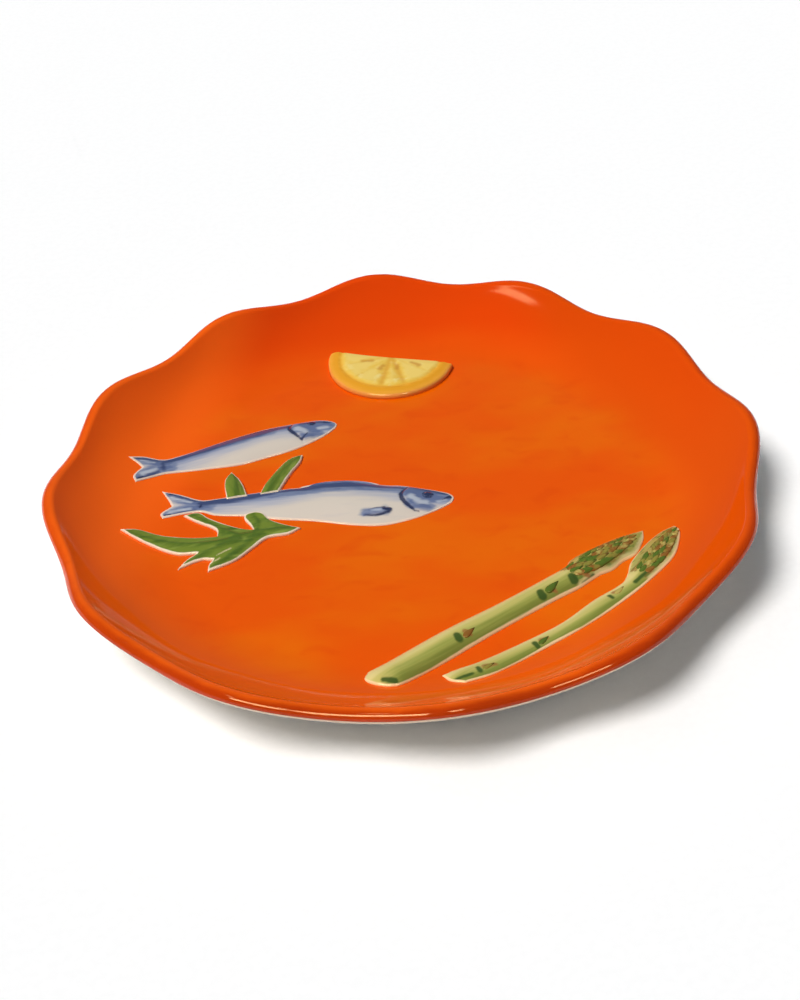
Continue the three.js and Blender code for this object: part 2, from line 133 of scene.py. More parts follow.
def lobed_turning():
    """Rows of a grid take radius and height from the points of a section, and turn about the plate's axis."""
    tree = bpy.data.node_groups.new("lobed turning", "GeometryNodeTree")
    sizes = tree_inputs(tree, [
        ("Segments", "Int", 360), ("Lobe Count", "Int", LOBES), ("Lobe Turn", "Float", LOBE_TURN),
        ("Lobe Reach", "Float", LOBE_REACH * MM), ("Lobe Lift", "Float", LOBE_LIFT * MM),
        ("Lobe Start", "Float", LOBE_START * MM), ("Rim Radius", "Float", RIM_RADIUS * MM),
        ("Unevenness", "Float", 1.0), ("Glaze", "Material", None),
    ])
    place = add_node(tree, "GeometryNodeInputPosition")
    count = add_node(tree, "GeometryNodeAttributeDomainSize", {0: sizes["Geometry"]})
    columns = add_node(tree, "ShaderNodeMath", {0: sizes["Segments"], 1: 1.0}, operation="ADD")
    grid = add_node(tree, "GeometryNodeMeshGrid", {
        "Size X": 1.0, "Size Y": 1.0, "Vertices X": count, "Vertices Y": columns,
    })
    spot = add_node(tree, "ShaderNodeSeparateXYZ", {0: place}).outputs
    last_row = add_node(tree, "ShaderNodeMath", {0: count, 1: 1.0}, operation="SUBTRACT")
    row = add_node(tree, "ShaderNodeMapRange", {
        "Value": spot["X"], "From Min": -0.5, "From Max": 0.5, "To Max": last_row,
    })
    row = add_node(tree, "ShaderNodeMath", {0: row}, operation="ROUND")
    section = add_node(tree, "GeometryNodeSampleIndex", {
        "Geometry": sizes["Geometry"], "Value": place, "Index": row,
    }, data_type="FLOAT_VECTOR")
    section = add_node(tree, "ShaderNodeSeparateXYZ", {0: section}).outputs
    angle = add_node(tree, "ShaderNodeMapRange", {
        "Value": spot["Y"], "From Min": -0.5, "From Max": 0.5, "To Max": math.tau,
    })
    share = add_node(tree, "ShaderNodeMapRange", {
        "Value": section["X"], "From Min": sizes["Lobe Start"], "From Max": sizes["Rim Radius"],
    }, interpolation_type="SMOOTHSTEP")
    drift = 0.0
    for waves, size, turn in UNEVENNESS:
        phase = add_node(tree, "ShaderNodeMath", {
            0: angle, 1: waves, 2: -waves * turn,
        }, operation="MULTIPLY_ADD")
        crest = add_node(tree, "ShaderNodeMath", {0: phase}, operation="COSINE")
        drift = add_node(tree, "ShaderNodeMath", {
            0: crest, 1: size * MM, 2: drift,
        }, operation="MULTIPLY_ADD")
    drift = add_node(tree, "ShaderNodeMath", {0: drift, 1: sizes["Unevenness"]}, operation="MULTIPLY")
    phase = add_node(tree, "ShaderNodeMath", {0: angle, 1: sizes["Lobe Turn"]}, operation="SUBTRACT")
    phase = add_node(tree, "ShaderNodeMath", {0: phase, 1: sizes["Lobe Count"]}, operation="MULTIPLY")
    lobe = add_node(tree, "ShaderNodeMath", {0: phase}, operation="COSINE")
    reach = add_node(tree, "ShaderNodeMath", {
        0: lobe, 1: sizes["Lobe Reach"], 2: drift,
    }, operation="MULTIPLY_ADD")
    lift = add_node(tree, "ShaderNodeMath", {0: lobe, 1: sizes["Lobe Lift"]}, operation="MULTIPLY")
    radius = add_node(tree, "ShaderNodeMath", {
        0: share, 1: reach, 2: section["X"],
    }, operation="MULTIPLY_ADD")
    height = add_node(tree, "ShaderNodeMath", {
        0: share, 1: lift, 2: section["Z"],
    }, operation="MULTIPLY_ADD")
    spoke = add_node(tree, "ShaderNodeCombineXYZ", {"X": radius, "Z": height})
    turned = add_node(tree, "ShaderNodeVectorRotate", {
        "Vector": spoke, "Angle": angle,
    }, rotation_type="Z_AXIS")
    mesh = add_node(tree, "GeometryNodeStoreNamedAttribute", {
        "Geometry": grid, "Name": "ring", "Value": section["X"],
    }, data_type="FLOAT", domain="POINT")
    mesh = add_node(tree, "GeometryNodeSetPosition", {"Geometry": mesh, "Position": turned})
    mesh = add_node(tree, "GeometryNodeMergeByDistance", {"Geometry": mesh, "Distance": SEAM * MM})
    mesh = add_node(tree, "GeometryNodeSetShadeSmooth", {"Geometry": mesh})
    mesh = add_node(tree, "GeometryNodeRealizeInstances", {"Geometry": mesh})
    mesh = add_node(tree, "GeometryNodeSetMaterial", {"Geometry": mesh, "Material": sizes["Glaze"]})
    add_node(tree, "NodeGroupOutput", {0: mesh})
    return tree


turning = lobed_turning()
print("tree:", turning.name, "with", len(turning.nodes), "nodes")


# %% [markdown]
# A modifier's inputs are set by socket identifier before the object is first evaluated. The result is then
# baked to a plain mesh, because the part is kept as meshes that other programs can read.

# %% Run a tree and keep its mesh
def plain_object(name, points, edges=(), faces=()):
    """An object at the origin with a mesh of the given points."""
    mesh = bpy.data.meshes.new(name)
    mesh.from_pydata(points, edges, faces)
    obj = bpy.data.objects.new(name, mesh)
    bpy.context.scene.collection.objects.link(obj)
    return obj


def run_tree(obj, tree, **values):
    """Puts a tree on an object with its inputs, and keeps the mesh that comes out."""
    modifier = obj.modifiers.new(tree.name, "NODES")
    modifier.node_group = tree
    for item in tree.interface.items_tree:
        key = item.name.replace(" ", "_").lower()
        if item.in_out == "INPUT" and key in values:
            modifier[item.identifier] = values[key]
    graph = bpy.context.evaluated_depsgraph_get()
    mesh = bpy.data.meshes.new_from_object(obj.evaluated_get(graph))
    obj.modifiers.remove(modifier)
    obj.data = mesh
    return obj


def settle(piece, slot, *nodes):
    """The finished piece rides on the part and stands for the solids that it dresses."""
    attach(piece, "root")
    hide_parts(*nodes)
    piece.data.calc_loop_triangles()
    print(piece.name, "has", len(piece.data.loop_triangles), "triangles and stands for", ", ".join(nodes))


# %% [markdown]
# ## Glazes
# Majolica colours are a glassy coat over pale clay. What the eye gets from it: a clear, slightly wavy shine
# with sharp highlights, colour that pools and thins, and brush marks under the gloss. So every glaze here is
# a Principled shader with the index of glass, low roughness, faint bump, and colour built up in layers, each
# an attribute of the mesh that says how far a point lies inside a brush stroke, in millimetres.

# %% The glaze shader and its paint layers
GLASS_IOR = 1.5


def glaze(name, roughness=0.1, wave_mm=9.0, wave_height_mm=0.02):
    """A glossy glaze with faint waves in its surface, and the parts that a finish goes on adding to."""
    material = bpy.data.materials.new(name)
    material.use_nodes = True
    tree = material.node_tree
    shader = tree.nodes["Principled BSDF"]
    shader.inputs["Roughness"].default_value = roughness
    shader.inputs["IOR"].default_value = GLASS_IOR
    place = add_node(tree, "ShaderNodeTexCoord").outputs["Object"]
    waves = add_node(tree, "ShaderNodeTexNoise", {
        "Vector": place, "Scale": 1 / (wave_mm * MM), "Detail": 2.0,
    })
    bump = add_node(tree, "ShaderNodeBump", {"Height": waves, "Distance": wave_height_mm * MM})
    tree.links.new(bump.outputs[0], shader.inputs["Normal"])
    return material, tree, shader, place


def paint(tree, under, colour, depth, start, end, strength=1.0):
    """Colour laid over another where depth, a value in the tree, runs from start to end."""
    mask = add_node(tree, "ShaderNodeMapRange", {
        "Value": depth, "From Min": start, "From Max": end, "To Max": strength,
    }, interpolation_type="SMOOTHSTEP")
    under = linear(under) if isinstance(under, str) else under
    # This node keeps sockets for numbers, vectors and colours: 6 and 7 take colours, and output 2 gives one.
    mixed = add_node(tree, "ShaderNodeMix", {0: mask, 6: under, 7: linear(colour)}, data_type="RGBA")
    return mixed.outputs[2]


def plan_spot(tree, place):
    """The coordinates of a point, and how far it lies from the plate's axis."""
    spot = add_node(tree, "ShaderNodeSeparateXYZ", {0: place}).outputs
    flat = add_node(tree, "ShaderNodeCombineXYZ", {"X": spot["X"], "Y": spot["Y"]})
    return spot, add_node(tree, "ShaderNodeVectorMath", {0: flat}, operation="LENGTH").outputs["Value"]


print("glazes: index of refraction", GLASS_IOR)


# %% [markdown]
# A brush leaves streaks along the way it moved, so the noise that breaks up every stroke is stretched along
# the figure. Each figure carries a UV map, "brush", whose first direction is the way the painter's hand went.
# A layer on "plain" has no mesh attribute behind it, so its depth is 0 and the noise alone decides.

# %% Brush strokes as layers
BRUSH_MAP = 100.0
# Each layer reads the noise at a place of its own. Noise seldom leaves the range given here.
LAYER_SHIFT = (1.7, 2.3)
NOISE_LOW, NOISE_HIGH = 0.25, 0.75


def painted_glaze(name, ground, layers):
    """Layers of paint over a ground. Each has an attribute, a colour, the depths in mm at which it starts and
    is full, a wobble, the length and width of its streaks in mm, and a strength."""
    material, tree, shader, _ = glaze(name)
    colour = ground
    along = add_node(tree, "ShaderNodeUVMap", uv_map="brush")
    for seed, (attribute, code, start, end, wobble, length, width, strength) in enumerate(layers):
        streaks = add_node(tree, "ShaderNodeMapping", {
            "Vector": along, "Scale": (BRUSH_MAP / length, BRUSH_MAP / width, 1.0),
            "Location": (seed * LAYER_SHIFT[0], seed * LAYER_SHIFT[1], 0),
        })
        noise = add_node(tree, "ShaderNodeTexNoise", {"Vector": streaks, "Scale": 1.0, "Detail": 3.0})
        push = add_node(tree, "ShaderNodeMapRange", {
            "Value": noise, "From Min": NOISE_LOW, "From Max": NOISE_HIGH,
            "To Min": -wobble, "To Max": wobble,
        }, clamp=False)
        depth = add_node(tree, "ShaderNodeAttribute", attribute_name=attribute).outputs["Fac"]
        depth = add_node(tree, "ShaderNodeMath", {0: depth, 1: push}, operation="ADD")
        colour = paint(tree, colour, code, depth, start, end, strength)
    tree.links.new(colour, shader.inputs["Base Color"])
    print("glaze:", name, "with", len(layers), "layers")
    return material


print("brush: one unit of its map is", BRUSH_MAP, "mm")


# %% [markdown]
# The flooded orange is one glaze, but it isn't one colour: it was brushed on, so it is yellower where it lies
# thick in the well, and redder on the far side of the wall. The wall also carries painted light and painted
# shade: it is painted brighter than the well, lighter on one side and darker on the other.

# %% The orange flood glaze
# Painted light and painted shade on the wall: colour, tilt of the border in plan, and where it starts and is
# full.
WALL_LIGHT_AND_SHADE = [("DA4C00", 0.4, 92, 120), ("DC5000", -0.5, 100, 130), ("FF6610", -0.3, -84, -110)]


def orange_flood():
    """Yellower pools in the well, red on the far wall, painted light and shade on the wall, and painted shade
    in brown red on the outer lip.
    """
    material, tree, shader, place = glaze("orange flood glaze on earthenware", 0.08, 14.0, 0.03)
    shader.inputs["Specular IOR Level"].default_value = 0.3
    spot, radius = plan_spot(tree, place)
    drift = add_node(tree, "ShaderNodeMapping", {
        "Vector": place, "Rotation": (0, 0, 0.4), "Scale": (0.55, 1, 1),
    })
    pools = add_node(tree, "ShaderNodeTexNoise", {
        "Vector": drift, "Scale": 1 / (48 * MM), "Detail": 3.0, "Roughness": 0.55,
    })
    sweeps = add_node(tree, "ShaderNodeTexNoise", {
        "Vector": drift, "Scale": 1 / (9 * MM), "Detail": 2.0, "Distortion": 0.6,
    })
    colour = paint(tree, "E75500", "E76800", pools, 0.42, 0.72)
    colour = paint(tree, colour, "E04A00", sweeps, 0.5, 0.8, 0.5)
    # Painted light: the wall is painted brighter than the well.
    colour = paint(tree, colour, "F26008", radius, 96 * MM, 120 * MM)
    far = add_node(tree, "ShaderNodeMath", {0: spot["Y"], 1: 0.2, 2: radius}, operation="MULTIPLY_ADD")
    edge = add_node(tree, "ShaderNodeMath", {0: pools, 1: 30 * MM, 2: far}, operation="MULTIPLY_ADD")
    colour = paint(tree, colour, "E64600", edge, 122 * MM, 156 * MM)
    # Painted light on one side of the wall and painted shade on the other.
    for code, tilt, start, end in WALL_LIGHT_AND_SHADE:
        side = add_node(tree, "ShaderNodeMath", {
            0: spot["Y"], 1: tilt, 2: spot["X"],
        }, operation="MULTIPLY_ADD")
        colour = paint(tree, colour, code, side, start * MM, end * MM, 0.85)
    # Painted shade on the outer lip: brown red, strongest at the front.
    ring = add_node(tree, "ShaderNodeAttribute", attribute_name="ring").outputs["Fac"]
    lip = add_node(tree, "ShaderNodeMath", {0: sweeps, 1: 2 * MM, 2: ring}, operation="MULTIPLY_ADD")
    near = add_node(tree, "ShaderNodeMapRange", {
        "Value": spot["Y"], "From Min": -20 * MM, "From Max": -110 * MM, "To Min": 0.55, "To Max": 0.95,
    })
    colour = paint(tree, colour, "B83600", lip, 132.5 * MM, 135.2 * MM, near)
    tree.links.new(colour, shader.inputs["Base Color"])
    return material


orange = orange_flood()
print("glaze:", orange.name)


# %% [markdown]
# The back of the plate carries a plain cream tin glaze. The foot was wiped bare where it stands in the kiln,
# so its lowest edge is dry, buff and matt.

# %% Cream glaze and the bare foot
GLAZED_ROUGHNESS, BARE_ROUGHNESS = 0.16, 0.75
# Between these heights over the table bare clay gives way to glaze.
WIPED_FROM, WIPED_TO = 0.8, 1.2


def cream_tin():
    """Clouded cream with pin specks, warmer under the lip, and bare buff clay where the plate stands."""
    material, tree, shader, place = glaze("cream tin glaze on earthenware", GLAZED_ROUGHNESS, 11.0, 0.03)
    spot, radius = plan_spot(tree, place)
    # Real pin specks are finer, but would not show in a picture of the whole plate.
    cloud, grit = [add_node(tree, "ShaderNodeTexNoise", {
        "Vector": place, "Scale": 1 / (size * MM), "Detail": detail,
    }) for size, detail in ((30, 4.0), (1.6, 2.0))]
    colour = paint(tree, "EEE5D8", "E6DACA", cloud, 0.4, 0.75)
    colour = paint(tree, colour, "C7AE93", grit, 0.68, 0.74, 0.6)
    colour = paint(tree, colour, "E6C8A8", radius, 128 * MM, 133 * MM)
    line = add_node(tree, "ShaderNodeMath", {0: grit, 1: 0.8 * MM, 2: spot["Z"]}, operation="MULTIPLY_ADD")
    colour = paint(tree, colour, "CFA98A", line, WIPED_TO * MM, WIPED_FROM * MM)
    rough = add_node(tree, "ShaderNodeMapRange", {
        "Value": line, "From Min": WIPED_FROM * MM, "From Max": WIPED_TO * MM,
        "To Min": BARE_ROUGHNESS, "To Max": GLAZED_ROUGHNESS,
    })
    tree.links.new(colour, shader.inputs["Base Color"])
    tree.links.new(rough.outputs[0], shader.inputs["Roughness"])
    return material


cream = cream_tin()
print("glaze:", cream.name)


# %% [markdown]
# Now the sections. The wall is an arc that leaves the flat well level and steepens to the lip, and the lip is
# a half round. The coat is the same line pushed out by its thickness, ending under the lip, where the photo's
# plate shows a thin cream line.

# %% Sections of clay, coat and foot
# How much further the coat's inner line turns round the lip, and how much wider the foot is at the clay.
COAT_TUCK = 0.06
FOOT_FLARE = 0.1


def wall_line(offset, steps):
    """The well and the wall, offset from the middle of the clay towards the food."""
    points = [(0.0, MIDDLE_HEIGHT + offset), (WELL_RADIUS * 0.5, MIDDLE_HEIGHT + offset)]
    reach = WALL_RADIUS - offset
    for i in range(steps + 1):
        angle = WALL_SWEEP * i / steps
        out = WELL_RADIUS + reach * math.sin(angle)
        points.append((out, MIDDLE_HEIGHT + WALL_RADIUS - reach * math.cos(angle)))
    return points


def lip_line(offset, wrap, steps):
    """The rounded lip, from the food side round to an angle."""
    middle = wall_line(0.0, 1)[-1]
    angles = [WALL_SWEEP + math.pi / 2 - wrap * (i + 1) / steps for i in range(steps)]
    return [(middle[0] + offset * math.cos(a), middle[1] + offset * math.sin(a)) for a in angles]


outer, inner = LIP_RADIUS + COAT_OUTSIDE, LIP_RADIUS + COAT_INSIDE
clay_section = wall_line(LIP_RADIUS, 24) + lip_line(LIP_RADIUS, math.pi, 12)[:-1]
clay_section += wall_line(-LIP_RADIUS, 24)[::-1]
coat_section = wall_line(outer, 48) + lip_line(outer, COAT_WRAP, 36)
coat_section += (wall_line(inner, 24) + lip_line(inner, COAT_WRAP + COAT_TUCK, 12))[::-1]
inside, outside = FOOT_RADIUS - FOOT_WIDTH / 2, FOOT_RADIUS + FOOT_WIDTH / 2
quarter = [math.pi / 2 * i / 6 for i in range(7)]
foot_section = [(inside - FOOT_FLARE, FOOT_HEIGHT), (outside + FOOT_FLARE, FOOT_HEIGHT)]
foot_section += [(outside - 1 + math.cos(a), 1 - math.sin(a)) for a in quarter]
foot_section += [(inside + 1 - math.sin(a), 1 - math.cos(a)) for a in quarter]
foot_section += foot_section[:1]
counts = [len(section) for section in (clay_section, coat_section, foot_section)]
print("sections of clay, coat and foot:", counts, "points")


# %% [markdown]
# Each section becomes a row of points, and the tree turns it into a piece: the clay, the foot ring that the
# potter added under it, and the orange coat.

# %% Turn the three pieces
def turned_piece(name, section, **values):
    """A piece turned from its section."""
    points = [(r * MM, 0.0, z * MM) for r, z in section]
    steps = [(i, i + 1) for i in range(len(points) - 1)]
    return run_tree(plain_object(name, points, steps), turning, **values)


clay_plate = turned_piece("clay_plate", clay_section, glaze=cream)
settle(clay_plate, "clay", "plate_body")
clay_foot = turned_piece("clay_foot", foot_section, glaze=cream, segments=180)
settle(clay_foot, "clay", "foot_ring")
orange_coat = turned_piece("orange_coat", coat_section, glaze=orange, segments=600)
settle(orange_coat, "orange_glaze", "orange_glaze", "orange_glaze_patch")


# %% [markdown]
# ## The figures in relief
# Each figure was a thin pad of clay pressed into a carved mould: a clear outline, a low edge, a softly
# swollen top, and a few carved marks. You could sculpt them by hand, but here each starts from its outline,
# drawn as runs of points. A run is smooth, and two runs meet in a corner, such as the tip of a tail.

# %% Outlines in plan
OUTLINE_STEP = 0.5
TINY = 1e-9


def smooth_line(knots, step=OUTLINE_STEP):
    """A smooth line through the knots, with points about a step apart."""
    knots = [Vector(k) for k in knots]
    last = len(knots) - 1
    ways = [(knots[min(i + 1, last)] - knots[max(i - 1, 0)]).normalized() for i in range(last + 1)]
    points = []
    for a, b, leave, arrive in zip(knots, knots[1:], ways, ways[1:]):
        reach = (b - a).length / 3
        count = max(3, round(3 * reach / step) + 1)
        points += geometry.interpolate_bezier(a, a + leave * reach, b - arrive * reach, b, count)[:-1]
    return np.array([p[:2] for p in points] + [knots[-1][:2]])


def closed_outline(runs):
    """The runs joined end to end, turning to the left all the way round."""
    points = np.vstack([smooth_line([runs[i - 1][-1]] + run)[1:] for i, run in enumerate(runs)])
    following = np.roll(points, -1, 0)
    area = (points[:, 0] * following[:, 1] - points[:, 1] * following[:, 0]).sum()
    return points if area > 0 else points[::-1]


def inside_of(points, outline):
    """True for the points inside a closed outline."""
    odd = np.zeros(len(points), bool)
    for a, b in zip(outline, np.roll(outline, -1, 0)):
        crosses = (a[1] > points[:, 1]) != (b[1] > points[:, 1])
        rise = b[1] - a[1] if b[1] != a[1] else TINY
        at = a[0] + (points[:, 1] - a[1]) * (b[0] - a[0]) / rise
        odd ^= crosses & (points[:, 0] < at)
    return odd


print("outlines: a point every", OUTLINE_STEP, "mm")


# %% [markdown]
# Paint and carving both ask the same question: how far is this point from that line? A brush stroke is a line
# with a half width along it, and its depth is positive inside the stroke and negative outside.

# %% Distances and brush strokes
# The depth of a point that no stroke comes near.
OUTSIDE = -9.0


def distance_to(points, line):
    """How far each point lies from a line, and where along the line its nearest spot is, from 0 to 1."""
    steps = np.linalg.norm(np.diff(line, axis=0), axis=1)
    start = np.concatenate([[0], np.cumsum(steps)])
    gap = np.full(len(points), np.inf)
    along = np.zeros(len(points))
    for a, b, length, passed in zip(line, line[1:], steps, start):
        t = np.clip((points - a) @ (b - a) / max(length, TINY) ** 2, 0, 1)
        d = np.linalg.norm(points - a - t[:, None] * (b - a), axis=1)
        nearer = d < gap
        gap = np.where(nearer, d, gap)
        along = np.where(nearer, (passed + t * length) / start[-1], along)
    return gap, along


def strokes(points, marks):
    """How deep each point lies inside the deepest of several strokes, each given as knots and half widths."""
    depths = [np.full(len(points), OUTSIDE)]
    for knots, half_widths in marks:
        gap, along = distance_to(points, smooth_line(knots))
        depths.append(np.interp(along, np.linspace(0, 1, len(half_widths)), half_widths) - gap)
    return np.max(depths, axis=0)


def step_up(value, start, end):
    """0 before start, 1 after end, smooth between."""
    t = np.clip((value - start) / (end - start), 0, 1)
    return t * t * (3 - 2 * t)


sample_stroke = [([(0, 0), (20, 0)], [1.0, 3.0])]
print("half way along a stroke of 1 to 3 mm:", strokes(np.array([[10.0, 0.0]]), sample_stroke)[0], "mm deep")


# %% [markdown]
# The swell of a pressed pad is the shape of a soap film blown up over its outline: steep at the edge, round
# in the middle, and lower where the outline is narrow. That film is one linear equation on the triangles of
# the pad, solved here by conjugate gradients. No ridge appears where two sides meet, as it would if the
# height were taken from the distance to the edge.

# %% Blow up a film over an outline
FILM_ROUNDS = 400
# Two guards against dividing by nothing.
NO_AREA = 1e-12
NO_PULL = 1e-30


def film(points, triangles, at_edge):
    """Height of the film at each point, with the highest at 1."""
    count = len(points)
    ends, weights = [], []
    load = np.zeros(count)
    for a, b, c in ((0, 1, 2), (1, 2, 0), (2, 0, 1)):
        i, j, k = triangles[:, a], triangles[:, b], triangles[:, c]
        u, v = points[i] - points[k], points[j] - points[k]
        double_area = np.abs(u[:, 0] * v[:, 1] - u[:, 1] * v[:, 0]) + NO_AREA
        ends.append((i, j))
        weights.append((u * v).sum(1) / double_area / 2)
        load += np.bincount(i, double_area / 6, count)
    i, j = np.hstack(ends)
    weight = np.hstack(weights)
    free = ~at_edge

    def pull(height):
        flow = weight * (height[i] - height[j])
        return (np.bincount(i, flow, count) - np.bincount(j, flow, count)) * free

    height = np.zeros(count)
    rest = load * free
    step = rest.copy()
    for _ in range(FILM_ROUNDS):
        pulled = pull(step)
        share = rest @ rest / max(step @ pulled, NO_PULL)
        height = height + share * step
        left = rest - share * pulled
        step = left + step * (left @ left) / max(rest @ rest, NO_PULL)
        rest = left
    return np.clip(height / height.max(), 0, None)


print("film: solved in", FILM_ROUNDS, "rounds")


# %% [markdown]
# The pad is triangulated inside its outline, with rings of points close to the edge, where the surface turns
# fastest, and a regular grid in the middle.

# %% Points of a pad
GRID_STEP = 0.6
# Rows of even triangles lie this share of a step apart.
ROW_PITCH = 0.866
EDGE_RINGS = (0.1, 0.25, 0.5, 0.9)
# In a narrow tip a ring comes nearer to the far edge than this share of its depth, and is left out.
RING_ROOM = 0.85
# Clear space between the last ring and the grid.
GRID_ROOM = 0.35


def seat(points):
    """Height of the coat's upper face under points of the plan."""
    radius = np.hypot(points[:, 0], points[:, 1])
    run = np.maximum(radius - WELL_RADIUS, 0)
    height = MIDDLE_HEIGHT + WALL_RADIUS - np.sqrt((WALL_RADIUS - outer) ** 2 - run ** 2)
    wave = np.cos(LOBES * (np.arctan2(points[:, 1], points[:, 0]) - LOBE_TURN))
    return height + LOBE_LIFT * wave * step_up(radius, LOBE_START, RIM_RADIUS)


def pad_points(outline):
    """The outline, rings inside it and a grid in the middle."""
    loop = np.vstack([outline, outline[:1]])
    ahead = np.roll(outline, -1, 0) - np.roll(outline, 1, 0)
    inward = np.stack([-ahead[:, 1], ahead[:, 0]], 1) / np.linalg.norm(ahead, axis=1)[:, None]
    found = [outline]
    for depth in EDGE_RINGS:
        ring = outline + inward * depth
        keep = (distance_to(ring, loop)[0] > depth * RING_ROOM) & inside_of(ring, outline)
        found.append(ring[keep])
    low, high = outline.min(0), outline.max(0)
    rows = np.arange(low[1], high[1], GRID_STEP * ROW_PITCH)
    columns = np.arange(low[0], high[0], GRID_STEP)
    grid = np.array([(x + (k % 2) * GRID_STEP / 2, y) for k, y in enumerate(rows) for x in columns])
    grid = grid[inside_of(grid, outline)]
    found.append(grid[distance_to(grid, loop)[0] > EDGE_RINGS[-1] + GRID_ROOM])
    return np.vstack(found)


print("pads: points", GRID_STEP, "mm apart, finer in", len(EDGE_RINGS), "rings at the edge")


# %% [markdown]
# The height is laid on the plate's curved surface, and a wall and a floor sunk into the glaze close the pad.
# Every stroke of paint is stored on the points as an attribute, next to the UV map for the brush.

# %% Make a pad from an outline
EDGE_ROUND = 0.6
UPRIGHT = 0.4
SINK = 0.35
# The upright wall counts as this far outside the edge, so it stays pale.
WALL_DEPTH = 2.0
SNAP = 1e-5


def rounded_edge(depth, edge, round_off=EDGE_ROUND):
    """Height of the low edge all round a pad, from its upright wall over a small round."""
    over = np.clip(depth / round_off, 0, 1)
    return edge * (UPRIGHT + (1 - UPRIGHT) * np.sqrt(1 - (1 - over) ** 2))


def pad(name, runs, origin, turn, shape, glazed):
    """A closed pad. shape takes points, their depth inside the edge and the film, and returns the height over
    the glaze and the paint attributes."""
    outline = closed_outline(runs)
    rim = len(outline)
    edges = [(i, (i + 1) % rim) for i in range(rim)]
    planned = [Vector(p) for p in pad_points(outline)]
    # Output type 1 keeps the triangles inside the outline.
    verts, _, faces, _, _, _ = geometry.delaunay_2d_cdt(planned, edges, [], 1, SNAP)
    points = np.array([v[:] for v in verts])
    triangles = np.array(faces)
    at_edge = np.arange(len(points)) < rim
    depth = np.where(at_edge, 0.0, distance_to(points, np.vstack([outline, outline[:1]]))[0])
    height, marks = shape(points, depth, film(points, triangles, at_edge))
    top = np.column_stack([points, seat(points) + height])
    below = np.column_stack([points, seat(points) - SINK])
    count = len(points)
    walls = [(i + count, j + count, j, i) for i, j in edges]
    faces = [tuple(t) for t in triangles] + [tuple(t[::-1] + count) for t in triangles] + walls
    piece = plain_object(name, (np.vstack([top, below]) * MM).tolist(), (), faces)
    for key, values in dict(marks, edge=depth).items():
        attribute = piece.data.attributes.new(key, "FLOAT", "POINT")
        lower = values - WALL_DEPTH if key == "edge" else values
        attribute.data.foreach_set("value", np.concatenate([values, lower]).astype(np.float32))
    cos, sin = math.cos(turn), math.sin(turn)
    flat = np.tile(points - origin, (2, 1)) @ np.array([[cos, -sin], [sin, cos]]) / BRUSH_MAP
    corners = np.zeros(len(piece.data.loops), np.int32)
    piece.data.loops.foreach_get("vertex_index", corners)
    brush = piece.data.uv_layers.new(name="brush")
    brush.data.foreach_set("uv", flat[corners].astype(np.float32).ravel())
    piece.data.shade_smooth()
    piece.data.materials.append(glazed)
    return piece


print("pads: sunk", SINK, "mm into the coat")

# %% [markdown]
# ## Sardines
# Two sardines lie one behind the other. Their mould gave them a swollen body, a raised gill plate with a
# groove behind it, a low eye, a small fin pressed on the side, and a forked tail. The painter left the belly
# white, washed blue-grey down from the back in long strokes, covered head and tail, and drew gill, eye and
# mouth with a fine brush in navy. The wiped edge of the pad stays cream.

# %% Sardine glaze
sardine_glaze = painted_glaze("painted sardine glaze on earthenware", "D5CABC", [
    ("plain", "C8C0BA", 0.2, 1.0, 1.0, 24, 4.0, 0.5),
    ("back", "A9ADBC", 14.0, 6.5, 2.2, 26, 3.0, 0.9),
    ("back", "7583A6", 8.6, 3.6, 1.8, 22, 2.0, 0.9),
    ("wash", "76829F", -1.2, 0.9, 0.8, 8, 2.0, 0.95),
    ("wash", "5A6990", 0.6, 2.6, 2.0, 6, 1.8, 0.75),
    ("pale", "BCC3CD", -0.9, 0.9, 0.6, 6, 1.6, 0.85),
    ("line", "3E4A70", -1.0, 0.7, 0.7, 14, 1.4, 0.95),
    ("navy", "242C4C", -0.4, 0.3, 0.2, 4, 1.2, 0.92),
    ("edge", "EBD5C0", 0.95, 0.45, 0.3, 18, 8.0, 0.95),
])


# %% [markdown]
# Both fish swell in the same way, so one function shapes them: the film gives the body, then the gill plate
# is raised, the groove behind it cut, and eye and fins are set on.

# %% How a fish swells
FISH_EDGE = 0.4
GILL_RISE = 0.45
# The gill plate is full up to the first distance ahead of its edge, and has run out at the second.
GILL_PLATE = (3, 9)
GROOVE_DEPTH = 0.4
GROOVE_WIDTH = 0.7
EYE_RISE = 0.45
EYE_LINE = 0.3
PUPIL = 0.75
FIN_RISE = 0.5


